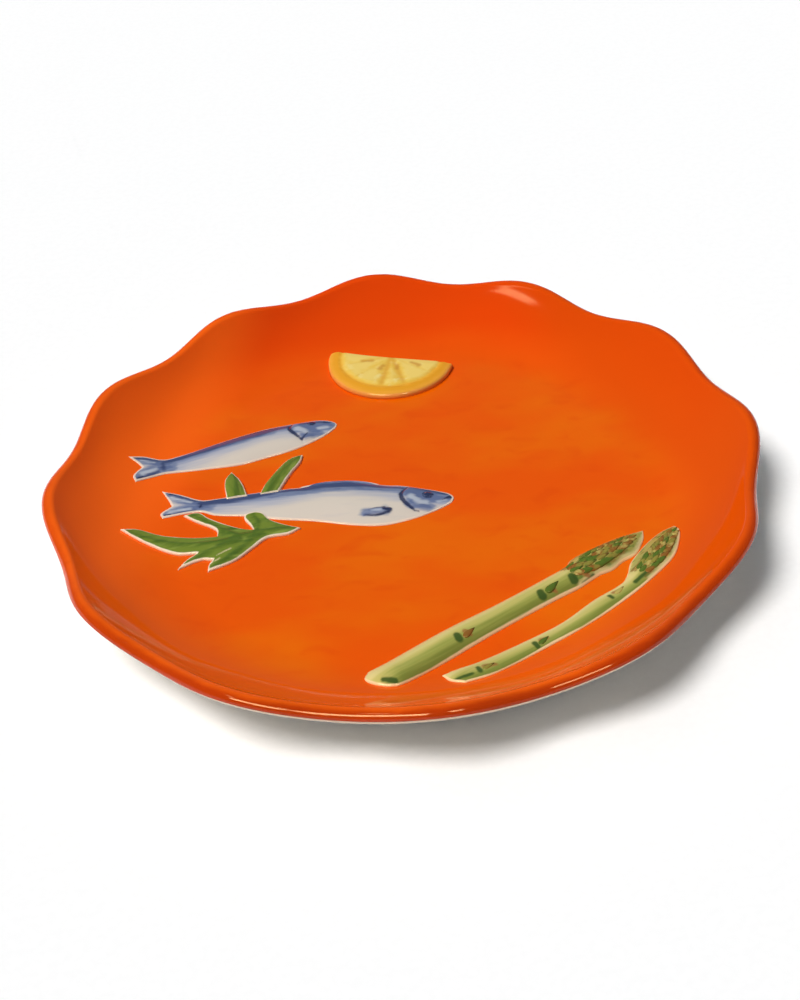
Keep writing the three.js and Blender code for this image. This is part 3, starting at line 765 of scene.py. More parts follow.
def fish_shape(crown, gill, eye, eye_radius, fins, marks):
    """The height of a fish and where its paint lies."""
    def shape(points, depth, swell):
        height = rounded_edge(depth, FISH_EDGE) + (crown - FISH_EDGE) * swell ** 0.9
        gill_line = smooth_line(gill)
        order = np.argsort(gill_line[:, 1])
        ahead = points[:, 0] - np.interp(points[:, 1], gill_line[order, 1], gill_line[order, 0])
        to_gill, _ = distance_to(points, gill_line)
        low, high = gill_line[:, 1].min() - 1, gill_line[:, 1].max() + 1
        level = step_up(points[:, 1], low, low + 2) * step_up(-points[:, 1], -high, 2 - high)
        inner_part = step_up(depth, 0.4, 1.8)
        plate = step_up(ahead, -0.4, 0.6) * step_up(-ahead, -GILL_PLATE[1], -GILL_PLATE[0]) * level
        height += GILL_RISE * plate * inner_part
        height -= GROOVE_DEPTH * np.exp(-(to_gill / GROOVE_WIDTH) ** 2) * inner_part
        away = np.linalg.norm(points - eye, axis=1)
        ball = np.sqrt(np.clip(1 - (away / eye_radius) ** 2, 0, 1))
        height += EYE_RISE * ball * step_up(depth, 0.2, 1.0)
        height += FIN_RISE * step_up(strokes(points, fins), -0.3, 0.8)
        ring = EYE_LINE - np.abs(away - eye_radius)
        navy = np.max([strokes(points, marks["navy"]), ring, eye_radius * PUPIL - away], axis=0)
        paint_depths = {key: strokes(points, marks[key]) for key in ("wash", "pale", "line")}
        back, _ = distance_to(points, smooth_line(marks["back"]))
        return height, dict(paint_depths, navy=navy, back=back)
    return shape


print("fish: edge", FISH_EDGE, "mm high, gill plate raised by", GILL_RISE, "mm")


# %% [markdown]
# The front fish is the larger one, with its fin along the back. Its outline runs from the upper tip of the
# tail along the back to the snout, and home along the belly. A stroke is written as its knots and, evenly
# spaced along it, its half widths.

# %% The front sardine
front_outline = [
    [(-89, 12.9), (-80, 8.0), (-75, 7.9), (-60, 9.5), (-45, 10.5), (-38.3, 10.8), (-34.5, 12.2), (-28, 12.6),
     (-21.7, 12.1), (-14, 10.3), (-8.3, 7.9), (0, 6.2), (8, 3.3), (15, 0.4), (18.2, -1.6), (19.2, -4.0),
     (17.4, -7.2), (8.3, -12.4), (0, -15.4), (-9, -17), (-20, -15.4), (-36, -10.8), (-50, -7.9), (-62, -4.4),
     (-74, -2.2), (-80, 0.6), (-87.5, 0.1), (-94.8, -1.4)],
    [(-95.6, 1.4), (-91.5, 5.6)],
    [(-93.2, 10), (-96, 15.6)],
]
front_marks = {
    "back": [(-80, 8), (-60, 9.5), (-40, 10.8), (-28, 12.6), (-14, 10.3), (0, 6.2), (14, 0.8)],
    "line": [
        ([(-79.5, 5.4), (-70, 5.8), (-60, 6.8), (-48, 8.2)], [1.7, 2.1, 1.6, 0.8]),
        ([(-48, 8.2), (-38, 8.6), (-28, 8.8), (-18, 7.8), (-8, 5.4), (0, 3.6)],
         [1.0, 1.7, 1.9, 1.6, 1.0, 0.5]),
        ([(-37, 11), (-28, 11.8), (-20, 11.2)], [0.3, 0.5, 0.3]),
        ([(3, 4), (10, 1.6), (16.4, -1.4)], [0.8, 1.1, 0.8]), ([(-80.4, 6), (-79.8, 3.6)], [0.8, 0.8]),
        ([(-82, 7.4), (-88, 10.8), (-93.6, 14)], [0.5, 0.6, 0.4]), ([(-82, 1.6), (-92, 0.2)], [0.4, 0.5]),
    ],
    "wash": [
        ([(3.4, 0.4), (10, -2.6), (16, -4)], [5.2, 5.2, 2.8]), ([(3.4, -6.6), (9, -9)], [3.4, 2.4]),
        ([(-60, 5.2), (-45, 5.6), (-30, 5.6), (-14, 4), (-2, 1.8)], [1.0, 1.4, 1.6, 1.4, 0.8]),
        ([(-77, 4.8), (-85, 8.0), (-93, 12.8)], [3.4, 3.2, 2.2]),
        ([(-77, 3.8), (-86, 2.8), (-93.4, 0.4)], [3.0, 2.8, 2.0]),
        ([(-15.6, -10.6), (-8, -10.2)], [1.7, 2.0]),
    ],
    "pale": [
        ([(2.6, -3), (5.4, -6), (8.4, -6.6)], [1.4, 1.5, 0.8]), ([(-13, -10.4), (-9.6, -10.2)], [0.4, 0.5]),
        ([(13, -6.2), (15.8, -5.4)], [0.6, 0.5]), ([(-84, 6.8), (-92, 10.8)], [0.5, 0.9]),
        ([(-84, 2.6), (-92, 1.2)], [0.5, 0.9]),
    ],
    "navy": [
        ([(1.4, 4.2), (-1.1, -0.6), (-0.4, -5.2), (3.4, -10.6)], [0.4, 0.8, 0.75, 0.35]),
        ([(3.4, -10.6), (5.2, -11.4)], [0.4, 0.2]), ([(18.2, -3.4), (16.6, -4), (14.6, -5)], [1.0, 0.5, 0.1]),
        ([(18.4, -2), (15.4, -0.4)], [0.4, 0.2]), ([(-6, -10), (-8.4, -9.6)], [1.0, 0.5]),
        ([(-16, -11.8), (-11, -12.4), (-6.2, -11.2)], [0.15, 0.4, 0.4]),
        ([(-14, -9), (-8, -8.4)], [0.1, 0.35]),
        ([(-79.6, 4.8), (-80.2, 3)], [0.2, 0.3]), ([(-93, 13.6), (-90, 12)], [0.4, 0.2]),
        ([(-93.8, 0), (-91.5, 0.5)], [0.5, 0.2]),
    ],
}
front_gill = [(1.5, 4.4), (-1.1, -0.6), (-0.4, -5.2), (3.6, -10.8)]
side_fin = ([(-6, -10.2), (-10, -10.4), (-15.5, -10.6)], [1.2, 1.9, 1.0])
back_fin = ([(-40, 10.4), (-30, 11.4), (-18, 10.6), (-10, 8.4)], [0.6, 1.4, 1.2, 0.3])
front_shape = fish_shape(2.8, front_gill, (9.2, -1.8), 1.9, [side_fin, back_fin], front_marks)
front_sardine = pad("sardine_front", front_outline, (-80, 5), math.radians(-5.2), front_shape, sardine_glaze)
settle(front_sardine, "sardine_glaze", "front_sardine")

# %% [markdown]
# The back fish is smaller, tilted up to the right and further from the eye, so its paint is simpler: a blue
# back in one stroke, and a smaller head.

# %% The back sardine
back_outline = [
    [(-104, 35.8), (-96.3, 35.5), (-90, 38.2), (-80, 42.7), (-68, 47.7), (-55.3, 52), (-44, 54.1),
     (-34, 55.3), (-28.5, 54.4), (-25.4, 51.4), (-28, 46.8), (-34, 41.7), (-44, 36), (-54, 32.5),
     (-64.7, 29.2), (-80, 28), (-94, 27), (-99.3, 24.8), (-106.6, 20.4)],
    [(-107.6, 23.6), (-104.6, 29.5)],
    [(-106.6, 31.6), (-110, 34)],
]
back_marks = {
    "back": [(-96, 35.6), (-80, 42.7), (-68, 47.7), (-55.3, 52), (-44, 54.1), (-34, 55.3), (-28, 54)],
    "line": [
        ([(-96, 33.2), (-80, 39.8), (-68, 44.4), (-55.3, 48.8), (-46, 51.2)], [1.0, 1.6, 2.2, 2.2, 1.2]),
        ([(-41, 52.6), (-34, 53.4), (-28.6, 52.6)], [0.4, 0.7, 0.4]),
        ([(-96.6, 33.4), (-96, 29)], [0.8, 0.9]),
        ([(-98, 34), (-107, 34.4)], [0.6, 0.5]), ([(-98, 27.4), (-104.8, 22.4)], [0.5, 0.7]),
    ],
    "wash": [
        ([(-84, 36.6), (-68, 42.4), (-52, 47.2)], [0.8, 1.6, 1.4]),
        ([(-41, 49), (-34, 50), (-28, 50.6)], [4.2, 4.4, 2.6]), ([(-38.6, 44), (-33, 46)], [2.6, 2.4]),
        ([(-94, 32), (-102, 33), (-108.4, 33.8)], [3.0, 2.6, 1.6]),
        ([(-94, 30.5), (-101, 27.4), (-106, 22.6)], [3.0, 3.0, 2.0]),
    ],
    "pale": [
        ([(-41.6, 48.4), (-38.6, 46.4)], [1.5, 1.3]), ([(-33, 48.6), (-29.6, 49.6)], [0.8, 0.7]),
        ([(-99, 28.6), (-104, 25)], [0.7, 1.2]), ([(-100, 32.6), (-105, 33)], [0.2, 0.5]),
    ],
    "navy": [
        ([(-44, 53.2), (-45, 48.7), (-42.7, 45), (-39.9, 41.6)], [0.5, 0.75, 0.6, 0.35]),
        ([(-72, 44.8), (-60, 49.2), (-50, 51.6)], [0.2, 0.6, 0.3]),
        ([(-39.9, 41.6), (-37.4, 45.2)], [0.4, 0.15]), ([(-30.8, 53.4), (-29.4, 53.2)], [0.45, 0.25]),
        ([(-108.4, 34), (-105.6, 34.2)], [0.5, 0.2]), ([(-105.6, 21.8), (-103.8, 23.6)], [0.7, 0.3]),
    ],
}
back_gill = [(-44, 53.6), (-45, 48.7), (-42.7, 45), (-39.4, 40.8)]
back_shape = fish_shape(2.4, back_gill, (-36, 52.4), 1.4, [], back_marks)
back_sardine = pad("sardine_back", back_outline, (-97, 31.5), math.radians(15.7), back_shape, sardine_glaze)
settle(back_sardine, "sardine_glaze", "back_sardine")

# %% [markdown]
# ## Rocket
# A rocket leaf lies against the front sardine: long lobes from one hub, and two leaflets that show on the far
# side of the fish. Each lobe has a rib. The green was laid on wet, so it is mottled, darkest along the ribs
# and at the hub, yellower in streaks, and it stops short of the edge, which stays cream.

# %% Rocket glaze
rocket_glaze = painted_glaze("painted rocket glaze on earthenware", "72852F", [
    ("plain", "90A048", -0.1, 0.9, 1.0, 13, 3.0, 0.8),
    ("plain", "53702A", 0.15, 0.95, 1.0, 9, 3.6, 0.7),
    ("rib", "45611F", -1.8, 1.0, 1.3, 9, 2.2, 0.8),
    ("slit", "D2C596", -0.3, 0.3, 0.2, 5, 1.0, 0.9),
    ("edge", "F8E4CA", 0.8, 0.35, 0.35, 14, 8.0, 1.0),
])


# %% [markdown]
# Where two lobes meet the fish they were pressed up against its belly, so they climb a little over it. The
# function that shapes a leaf needs the outline of the fish for that.

# %% How a leaf swells
LEAF_EDGE = 1.1
RIB_HALF_WIDTHS = [0.8, 0.6, 0.2]
RIB_RISE = 0.3
SLIT_DEPTH = 0.3
fish_line = closed_outline(front_outline)
fish_loop = np.vstack([fish_line, fish_line[:1]])


def leaf_shape(ribs, hubs=(), slits=(), climb=0.0, crown=2.0):
    """The height of a leaf with its ribs raised, and where its paint lies."""
    def shape(points, depth, swell):
        rib = strokes(points, [(line, RIB_HALF_WIDTHS) for line in ribs])
        slit = strokes(points, slits)
        height = rounded_edge(depth, LEAF_EDGE) + (crown - LEAF_EDGE) * swell ** 0.7
        raised = RIB_RISE * step_up(rib, -0.5, 0.4) * step_up(depth, 0.3, 1.2)
        height += raised - SLIT_DEPTH * step_up(slit, -0.3, 0.2)
        gap, _ = distance_to(points, fish_loop)
        within = np.where(inside_of(points, fish_line), gap, -gap)
        height += climb * step_up(within, -1.2, 0.2) * (0.6 + 0.5 * np.clip(within, 0, 3))
        return height, {"rib": np.maximum(rib, strokes(points, hubs)), "slit": slit}
    return shape


print("leaf: edge", LEAF_EDGE, "mm high, ribs raised by", RIB_RISE, "mm")


# %% [markdown]
# The leaf's outline goes round its six lobes, with a corner at every tip and in every notch.

# %% The leaf and its leaflets
leaf_outline = [
    [(-80.6, -0.6), (-76.4, -4.4), (-69.3, -9.4), (-63, -12.8), (-58.6, -14)],
    [(-60, -11), (-62.4, -6.8), (-62.2, -4.6), (-58.4, -3.8), (-55.4, -4.8), (-52.4, -8.6), (-46, -12.6),
     (-40.5, -14.9)],
    [(-45, -17.8), (-53, -19.2), (-58.1, -24), (-65.2, -31), (-75.4, -35.9)],
    [(-75.2, -32.4), (-73.6, -29.6)],
    [(-78, -29), (-86.8, -33.2)],
    [(-83.6, -28.4), (-79.8, -25.2)],
    [(-88, -24.4), (-98, -18.6), (-109.8, -10.6)],
    [(-103.4, -9.4), (-94, -12.9), (-82, -15.8), (-72.6, -16.4)],
    [(-73.4, -11.9), (-81.6, -5.6), (-86.4, -1.4)],
]
leaf_ribs = [
    [(-64, -19.6), (-80, -20.4), (-92, -18), (-108, -11.4)],
    [(-64, -18), (-72.5, -11.4), (-79.5, -5), (-83.6, -2)],
    [(-59, -19), (-57, -11), (-59, -5.4)], [(-66, -18), (-52, -15.6), (-42, -14.9)],
    [(-64, -20), (-76, -25.6), (-85.6, -32.4)], [(-57, -18), (-65, -27), (-74.4, -35)],
]
leaf_hubs = [
    ([(-72, -22.6), (-66, -20)], [1.4, 2.0]), ([(-70, -14.4), (-66.6, -12.8)], [1.0, 0.8]),
    ([(-59, -19), (-55, -17)], [1.6, 1.0]), ([(-58.6, -12.6), (-57.6, -11.6)], [0.7, 0.9]),
]
leaf_slits = [
    ([(-72.4, -28.2), (-67, -24.8)], [0.2, 0.4]), ([(-76.4, -33.4), (-71, -29.6)], [0.1, 0.3]),
]
left_outline = [[(-70.9, 18.4), (-68.4, 24.1)], [(-64.3, 17.2), (-61.4, 7.4)], [(-69.9, 6.6)]]
right_outline = [
    [(-54.6, 14.2), (-47.5, 26.6), (-43.6, 30.3), (-39.5, 31.6)], [(-40.6, 26.6), (-44, 20.4), (-49.2, 8.4)],
    [(-56.8, 7.6)],
]
front_leaf = leaf_shape(leaf_ribs, leaf_hubs, leaf_slits, climb=0.6)
left_leaf = leaf_shape([[(-65.8, 8), (-66.4, 16), (-68, 22)]])
right_leaf = leaf_shape([[(-53, 9), (-48, 20), (-41, 30)]])
rocket_pieces = [
    ("rocket_leaf_front", leaf_outline, (-66, -19), 10, front_leaf, "rocket_leaf"),
    ("rocket_tip_left", left_outline, (-66, 8), 98, left_leaf, "rocket_leaflet_left"),
    ("rocket_tip_right", right_outline, (-53, 9), 62, right_leaf, "rocket_leaflet_right"),
]
for name, runs, origin, turn, shape, node in rocket_pieces:
    settle(pad(name, runs, origin, math.radians(turn), shape, rocket_glaze), "rocket_glaze", node)

# %% [markdown]
# ## Lemon
# The lemon is half a slice, thicker than the other figures. Its flesh is flat with soft segments between
# shallow grooves, and the rind falls away to the edge of the slice. Being a half disc, it hardly needs
# drawing: the outline is an arc and a chord, with the chord's left end rounded off. Its paint is thin yellow
# over white, which pools to orange in the grooves and on the rind.

# %% Lemon glaze
lemon_glaze = painted_glaze("painted lemon glaze on earthenware", "E9C150", [
    ("pulp", "EED070", 0.2, 3.2, 1.8, 7, 5, 0.9),
    ("plain", "F2E298", 0.2, 1.0, 1.0, 6, 6, 0.6),
    ("groove", "DDA23A", -1.4, 0.7, 0.5, 9, 2.0, 0.75),
    ("seed", "C98C36", -1.0, 0.7, 0.3, 4, 1.2, 0.7),
    ("rind", "ECAA32", 7.0, 4.8, 0.7, 12, 3, 1.0),
    ("rind", "E2981C", 5.4, 4.0, 0.8, 14, 2, 0.6),
    ("rind", "EEA638", 3.0, 1.0, 0.6, 12, 3, 0.8),
    ("edge", "F2A04C", 1.0, 0.3, 0.4, 10, 5, 0.9),
])

# %% [markdown]
# Grooves fan out from the middle of the chord like spokes. Two of them are plain in the glaze and the others
# have almost filled up, so they get a smaller width.

# %% The lemon slice
LEMON_MIDDLE = np.array([-0.6, 94.2])
LEMON_TURN = math.radians(-16.6)
LEMON_RADIUS = 27.5
LEMON_EDGE = 2.6
LEMON_ROUND = 1.4
RIND = 5.6
RIND_FALL = 0.8
SEGMENT_RISE = 0.3
PITH_GROOVE = 0.35


def on_lemon(radius, angle):
    """A point of the slice from its middle, with degrees counted from the chord's right end."""
    a = math.radians(angle) + LEMON_TURN
    return tuple(LEMON_MIDDLE + radius * np.array([math.cos(a), math.sin(a)]))


lemon_arc = [on_lemon(LEMON_RADIUS, -angle) for angle in range(0, 176, 15)]
rounded_end = [(LEMON_RADIUS - 0.4, -176), (LEMON_RADIUS - 2.2, -179.4), (20, -180)]
lemon_runs = [
    lemon_arc + [on_lemon(radius, angle) for radius, angle in rounded_end],
    [on_lemon(LEMON_RADIUS - 0.6, 1.2)], [on_lemon(LEMON_RADIUS, 0)],
]
lemon_grooves = [
    ([on_lemon(r, -angle) for r in (1.0, 12.0, 20.4)], [width, width * 1.3])
    for angle, width in ((26, -1.2), (61, 0.45), (88, 0.5), (124, -0.9), (154, -1.2))
]
lemon_seeds = [
    ([(-13, 92.4), (-9, 92)], [0.8, 0.9]), ([(-5.8, 85.2), (-4.2, 87.8)], [1.0, 0.7]),
    ([(1.6, 84.8), (2, 87.2)], [0.8, 0.5]), ([(8, 88), (11, 85.4)], [0.7, 0.9]),
]


def lemon_shape(points, depth, _):
    """The height of the slice, which is flat and needs no film, and where its paint lies."""
    out = np.linalg.norm(points - LEMON_MIDDLE, axis=1)
    rind = LEMON_RADIUS - out
    chord = (points - LEMON_MIDDLE) @ np.array([math.sin(LEMON_TURN), -math.cos(LEMON_TURN)])
    groove = strokes(points, lemon_grooves)
    height = rounded_edge(depth, LEMON_EDGE, LEMON_ROUND) + RIND_FALL * step_up(rind, 0.5, RIND)
    soft = step_up(rind, RIND, RIND + 2.5) * step_up(chord, 0.5, 4)
    height += SEGMENT_RISE * step_up(groove, 0.3, -2.8) * soft
    height -= PITH_GROOVE * np.exp(-(rind - RIND) ** 2)
    return height, {
        "rind": rind, "groove": np.where(rind > RIND - 1, groove, OUTSIDE),
        "seed": strokes(points, lemon_seeds), "pulp": np.minimum(-groove, rind - RIND),
    }


lemon = pad("lemon_half_slice", lemon_runs, LEMON_MIDDLE, LEMON_TURN, lemon_shape, lemon_glaze)
settle(lemon, "lemon_glaze", "lemon_slice")

# %% [markdown]
# ## Asparagus
# Two spears, one thick and straight, one thin and bent. A spear is a half-round stalk with small scale leaves
# on it, sparse on the stalk and crowded at the head. Its glaze is pale above and olive below, which is
# painted light on the upper side and painted shade on the lower side. The head is dabbed with rust, olive and
# green while wet, so the touches run into each other.

# %% Stalk glaze
asparagus_glaze = painted_glaze("painted asparagus glaze on earthenware", "C4BA68", [
    # The next three layers on across are painted light on the upper side of the stalk and painted shade on
    # its lower side.
    ("across", "E4D28E", 0.0, -0.8, 0.25, 44, 3.5, 0.95),
    ("across", "929A46", -0.2, 0.4, 0.25, 44, 2.6, 0.9),
    ("across", "6F7C30", 0.25, 0.8, 0.3, 36, 1.8, 0.75),
    ("head", "A09A4C", -3.0, 5.0, 3.0, 6, 2.5, 0.85),
    ("mottle", "85602C", 0.0, 0.5, 1.0, 6, 3.0, 0.8),
    ("mottle", "5A7832", 0.1, 0.6, 1.0, 5, 3.0, 0.8),
    ("mottle", "C8A24E", 0.45, 0.9, 1.0, 4, 2.4, 0.7),
    ("border", "D0C488", -0.6, 0.5, 0.5, 8, 3.0, 0.95),
    ("node", "37521F", -0.6, 0.4, 0.2, 5, 2.5, 0.92),
    ("rust", "9A6433", -0.6, 0.4, 0.3, 4, 1.5, 0.8),
    ("across", "DCCB94", 0.88, 1.0, 0.1, 40, 6.0, 0.85),
    ("edge", "F4D8A4", 0.8, 0.35, 0.3, 20, 8.0, 0.95),
])


# %% [markdown]
# The scale leaves take the same dabs. Each leaf draws a tone of its own, and noise in the plate's space is
# added to it, so that a dab may still run from one leaf over the next, as it does under a brush.

# %% Scale leaf glaze
# Widths of a dab, and of the dark flecks at a tip.
DAB = 3.5
FLECK = 1.5
DAB_TONES = [("8A5824", 0.94, 1.14), ("BCAE5E", 1.2, 1.42), ("4C6A22", 0.88, 0.66)]


def scale_leaf_glaze():
    """Dabs of rust, green and cream over olive, each leaf a little different, and dark where tips overlap."""
    material, tree, shader, place = glaze("painted scale leaf glaze on earthenware", 0.14, 3.0, 0.03)
    tone, reach = [
        add_node(tree, "ShaderNodeAttribute", attribute_name=name).outputs["Fac"]
        for name in ("tone", "reach")
    ]
    colour = "8C8438"
    dabs = add_node(tree, "ShaderNodeTexNoise", {"Vector": place, "Scale": 1 / (DAB * MM), "Detail": 2.0})
    dabs = add_node(tree, "ShaderNodeMath", {0: dabs, 1: 0.9, 2: tone}, operation="MULTIPLY_ADD")
    for code, start, end in DAB_TONES:
        colour = paint(tree, colour, code, dabs, start, end, 0.9)
    tip = add_node(tree, "ShaderNodeTexNoise", {"Vector": place, "Scale": 1 / (FLECK * MM), "Detail": 2.0})
    tip = add_node(tree, "ShaderNodeMath", {0: tip, 1: 0.6, 2: reach}, operation="MULTIPLY_ADD")
    colour = paint(tree, colour, "3E3C16", tip, 0.4, 0.75, 0.6)
    tree.links.new(colour, shader.inputs["Base Color"])
    return material


scale_glaze = scale_leaf_glaze()
print("glaze:", scale_glaze.name)


# %% [markdown]
# Scale leaves repeat along a surface, so Geometry Nodes place them. The script marks where each sits and
# which way it points, and the tree shapes one leaf, sets a copy on every mark and joins the spear to them.

# %% Geometry Nodes: scale leaves on a spear
def scale_leaves():
    """A tapered drop on every mark, turned to the surface and to the tip of the spear."""
    tree = bpy.data.node_groups.new("scale leaves", "GeometryNodeTree")
    sizes = tree_inputs(tree, [
        ("Spear", "Object", None), ("Length", "Float", 9 * MM), ("Width", "Float", 5 * MM),
        ("Thickness", "Float", 1.2 * MM), ("Taper", "Float", 0.8), ("Seed", "Int", 3),
        ("Glaze", "Material", None),
    ])
    place = add_node(tree, "GeometryNodeInputPosition")
    drop = add_node(tree, "GeometryNodeMeshUVSphere", {"Segments": 10, "Rings": 8, "Radius": 0.5})
    turned = add_node(tree, "ShaderNodeVectorRotate", {
        "Vector": place, "Angle": math.pi / 2,
    }, rotation_type="Y_AXIS")
    spot = add_node(tree, "ShaderNodeSeparateXYZ", {0: turned}).outputs
    forward = add_node(tree, "ShaderNodeMath", {0: spot["X"], 1: 0.5}, operation="ADD")
    narrow = add_node(tree, "ShaderNodeMath", {0: forward, 1: sizes["Taper"]}, operation="MULTIPLY")
    narrow = add_node(tree, "ShaderNodeMath", {0: 1.0, 1: narrow}, operation="SUBTRACT")
    wide = add_node(tree, "ShaderNodeMath", {0: spot["Y"], 1: sizes["Width"]}, operation="MULTIPLY")
    wide = add_node(tree, "ShaderNodeMath", {0: wide, 1: narrow}, operation="MULTIPLY")
    long = add_node(tree, "ShaderNodeMath", {0: spot["X"], 1: sizes["Length"]}, operation="MULTIPLY")
    thick = add_node(tree, "ShaderNodeMath", {0: spot["Z"], 1: sizes["Thickness"]}, operation="MULTIPLY")
    shaped = add_node(tree, "ShaderNodeCombineXYZ", {"X": long, "Y": wide, "Z": thick})
    leaf = add_node(tree, "GeometryNodeStoreNamedAttribute", {
        "Geometry": drop, "Name": "reach", "Value": spot["X"],
    }, data_type="FLOAT", domain="POINT")
    leaf = add_node(tree, "GeometryNodeSetPosition", {"Geometry": leaf, "Position": shaped})
    leaf = add_node(tree, "GeometryNodeSetShadeSmooth", {"Geometry": leaf})
    facing, heading = [
        add_node(tree, "GeometryNodeInputNamedAttribute", {"Name": name}, data_type="FLOAT_VECTOR")
        for name in ("facing", "heading")
    ]
    size = add_node(tree, "GeometryNodeInputNamedAttribute", {"Name": "size"}, data_type="FLOAT")
    upright = add_node(tree, "FunctionNodeAlignRotationToVector", {"Vector": facing}, axis="Z")
    pointed = add_node(tree, "FunctionNodeAlignRotationToVector", {
        "Rotation": upright, "Vector": heading,
    }, axis="X", pivot_axis="Z")
    marks = add_node(tree, "GeometryNodeMeshToPoints", {"Mesh": sizes["Geometry"]})
    leaves = add_node(tree, "GeometryNodeInstanceOnPoints", {
        "Points": marks, "Instance": leaf, "Rotation": pointed, "Scale": size,
    })
    tone = add_node(tree, "FunctionNodeRandomValue", {"Seed": sizes["Seed"]}, data_type="FLOAT").outputs[1]
    leaves = add_node(tree, "GeometryNodeStoreNamedAttribute", {
        "Geometry": leaves, "Name": "tone", "Value": tone,
    }, data_type="FLOAT", domain="INSTANCE")
    leaves = add_node(tree, "GeometryNodeRealizeInstances", {"Geometry": leaves})
    leaves = add_node(tree, "GeometryNodeSetMaterial", {"Geometry": leaves, "Material": sizes["Glaze"]})
    spear_mesh = add_node(tree, "GeometryNodeObjectInfo", {"Object": sizes["Spear"]}).outputs["Geometry"]
    both = add_node(tree, "GeometryNodeJoinGeometry", {0: spear_mesh})
    tree.links.new(leaves.outputs[0], both.inputs[0])
    add_node(tree, "NodeGroupOutput", {0: both})
    return tree


leafing = scale_leaves()
print("tree:", leafing.name, "with", len(leafing.nodes), "nodes")


# %% [markdown]
# The stalk is a pad like the others, higher in the middle, with its paint running along it. Points know how
# far they lie across the stalk and along it, so the painted light, the painted shade and the start of the
# head follow its bends.

# %% How a spear swells
SPEAR_EDGE = 0.45
FULLNESS = 1.15


def spear_shape(upper, lower, spine, head_start, crown, nodes, rust):
    """The height of a spear and where its paint lies."""
    def shape(points, depth, swell):
        above, _ = distance_to(points, smooth_line(upper))
        below, _ = distance_to(points, smooth_line(lower))
        line = smooth_line(spine)
        _, along = distance_to(points, line)
        head = along * np.linalg.norm(np.diff(line, axis=0), axis=1).sum() - head_start
        full = np.minimum(swell * FULLNESS, 1.0) ** 0.8
        height = rounded_edge(depth, SPEAR_EDGE) + (crown - SPEAR_EDGE) * full
        across = (above - below) / (above + below + 0.01)
        border = np.minimum(head / 2, 0.4 + 0.9 * step_up(across, -0.3, 0.5) - depth)
        return height, {
            "across": across, "head": head, "mottle": np.clip(head / 3, OUTSIDE, 0), "border": border,
            "node": strokes(points, nodes), "rust": strokes(points, rust),
        }
    return shape


print("stalks: edge", SPEAR_EDGE, "mm high")


# %% [markdown]
# At the head the scale leaves stand in rows that overlap like tiles, staggered from row to row. Each mark
# drops on to the stalk from above to find the surface and the way it faces.

# %% Marks for the scale leaves
# A head wider than these half widths has two, three and four leaves in a row.
ROW_LIMITS = (1, 2.4, 3.4)
# The share of the half width that a row fills, its shift to the near side, and the fan of its outer leaves.
ROW_SPREAD = 0.78
ROW_OFFSET = -0.6
LEAF_FAN = 0.22
# The smallest leaf, and how much a leaf grows with each mm of half width.
LEAF_SIZE, LEAF_GROWTH = 0.6, 0.08
LEAF_TILT = 0.1
LOOK_AHEAD = 2
# Marks are dropped on to the stalk from this height in metres.
DROP_FROM = 0.1


def head_rows(start, pitch, half_widths):
    """Rows of leaves along a head: distance along the spear, offset, fan and size of each leaf."""
    rows = []
    for k, half in enumerate(half_widths):
        across = 1 + sum(half > limit for limit in ROW_LIMITS)
        if across > len(ROW_LIMITS) and k % 2:
            across -= 1
        size = LEAF_SIZE + LEAF_GROWTH * half
        for i in range(across):
            side = 0.0 if across == 1 else 2 * i / (across - 1) - 1
            offset = side * half * ROW_SPREAD + ROW_OFFSET
            rows.append((start + k * pitch + abs(side), offset, side * LEAF_FAN, size))
    return rows


def scale_leaf_marks(stalk, spine, rows):
    """Points on the stalk, each with the way it faces, the way it heads and its size."""
    line = smooth_line(spine)
    lengths = np.concatenate([[0], np.cumsum(np.linalg.norm(np.diff(line, axis=0), axis=1))])
    spots, facings, headings, sizes = [], [], [], []
    for along, offset, fan, size in rows:
        before, middle, after = [
            np.array([np.interp(along + step, lengths, line[:, k]) for k in (0, 1)])
            for step in (-LOOK_AHEAD, 0, LOOK_AHEAD)
        ]
        ahead = (after - before) / np.linalg.norm(after - before)
        side = np.array([-ahead[1], ahead[0]])
        plan = (middle + side * offset) * MM
        hit, where, normal, _ = stalk.ray_cast(Vector((*plan, DROP_FROM)), Vector((0, 0, -1)))
        if hit:
            spots.append(where)
            facings.append(normal)
            headings.append(Vector((*(ahead * math.cos(fan) + side * math.sin(fan)), LEAF_TILT)))
            sizes.append(size)
    marks = plain_object("scale_leaf_marks", spots)
    for name, values in (("facing", facings), ("heading", headings)):
        attribute = marks.data.attributes.new(name, "FLOAT_VECTOR", "POINT")
        attribute.data.foreach_set("vector", np.array(values, np.float32).ravel())
    attribute = marks.data.attributes.new("size", "FLOAT", "POINT")
    attribute.data.foreach_set("value", np.array(sizes, np.float32))
    print("scale leaves:", len(spots), "on", stalk.name)
    return marks


def spear(name, runs, origin, turn, shape, spine, rows, node, **leaf_sizes):
    """One spear with its scale leaves, joined by the tree into one mesh."""
    stalk = pad(name + "_stalk", runs, origin, math.radians(turn), shape, asparagus_glaze)
    bpy.context.view_layer.update()
    marks = scale_leaf_marks(stalk, spine, rows)
    piece = run_tree(marks, leafing, spear=stalk, glaze=scale_glaze, **leaf_sizes)
    piece.name = name
    bpy.data.objects.remove(stalk)
    settle(piece, "asparagus_glaze", node)


print("a head of two rows, 4 and 2 mm half wide, takes", len(head_rows(0, 3, [4, 2])), "leaves")

# %% [markdown]
# The thick spear is straight. Its upper and lower edges are drawn apart, because the paint needs to know
# which is which.

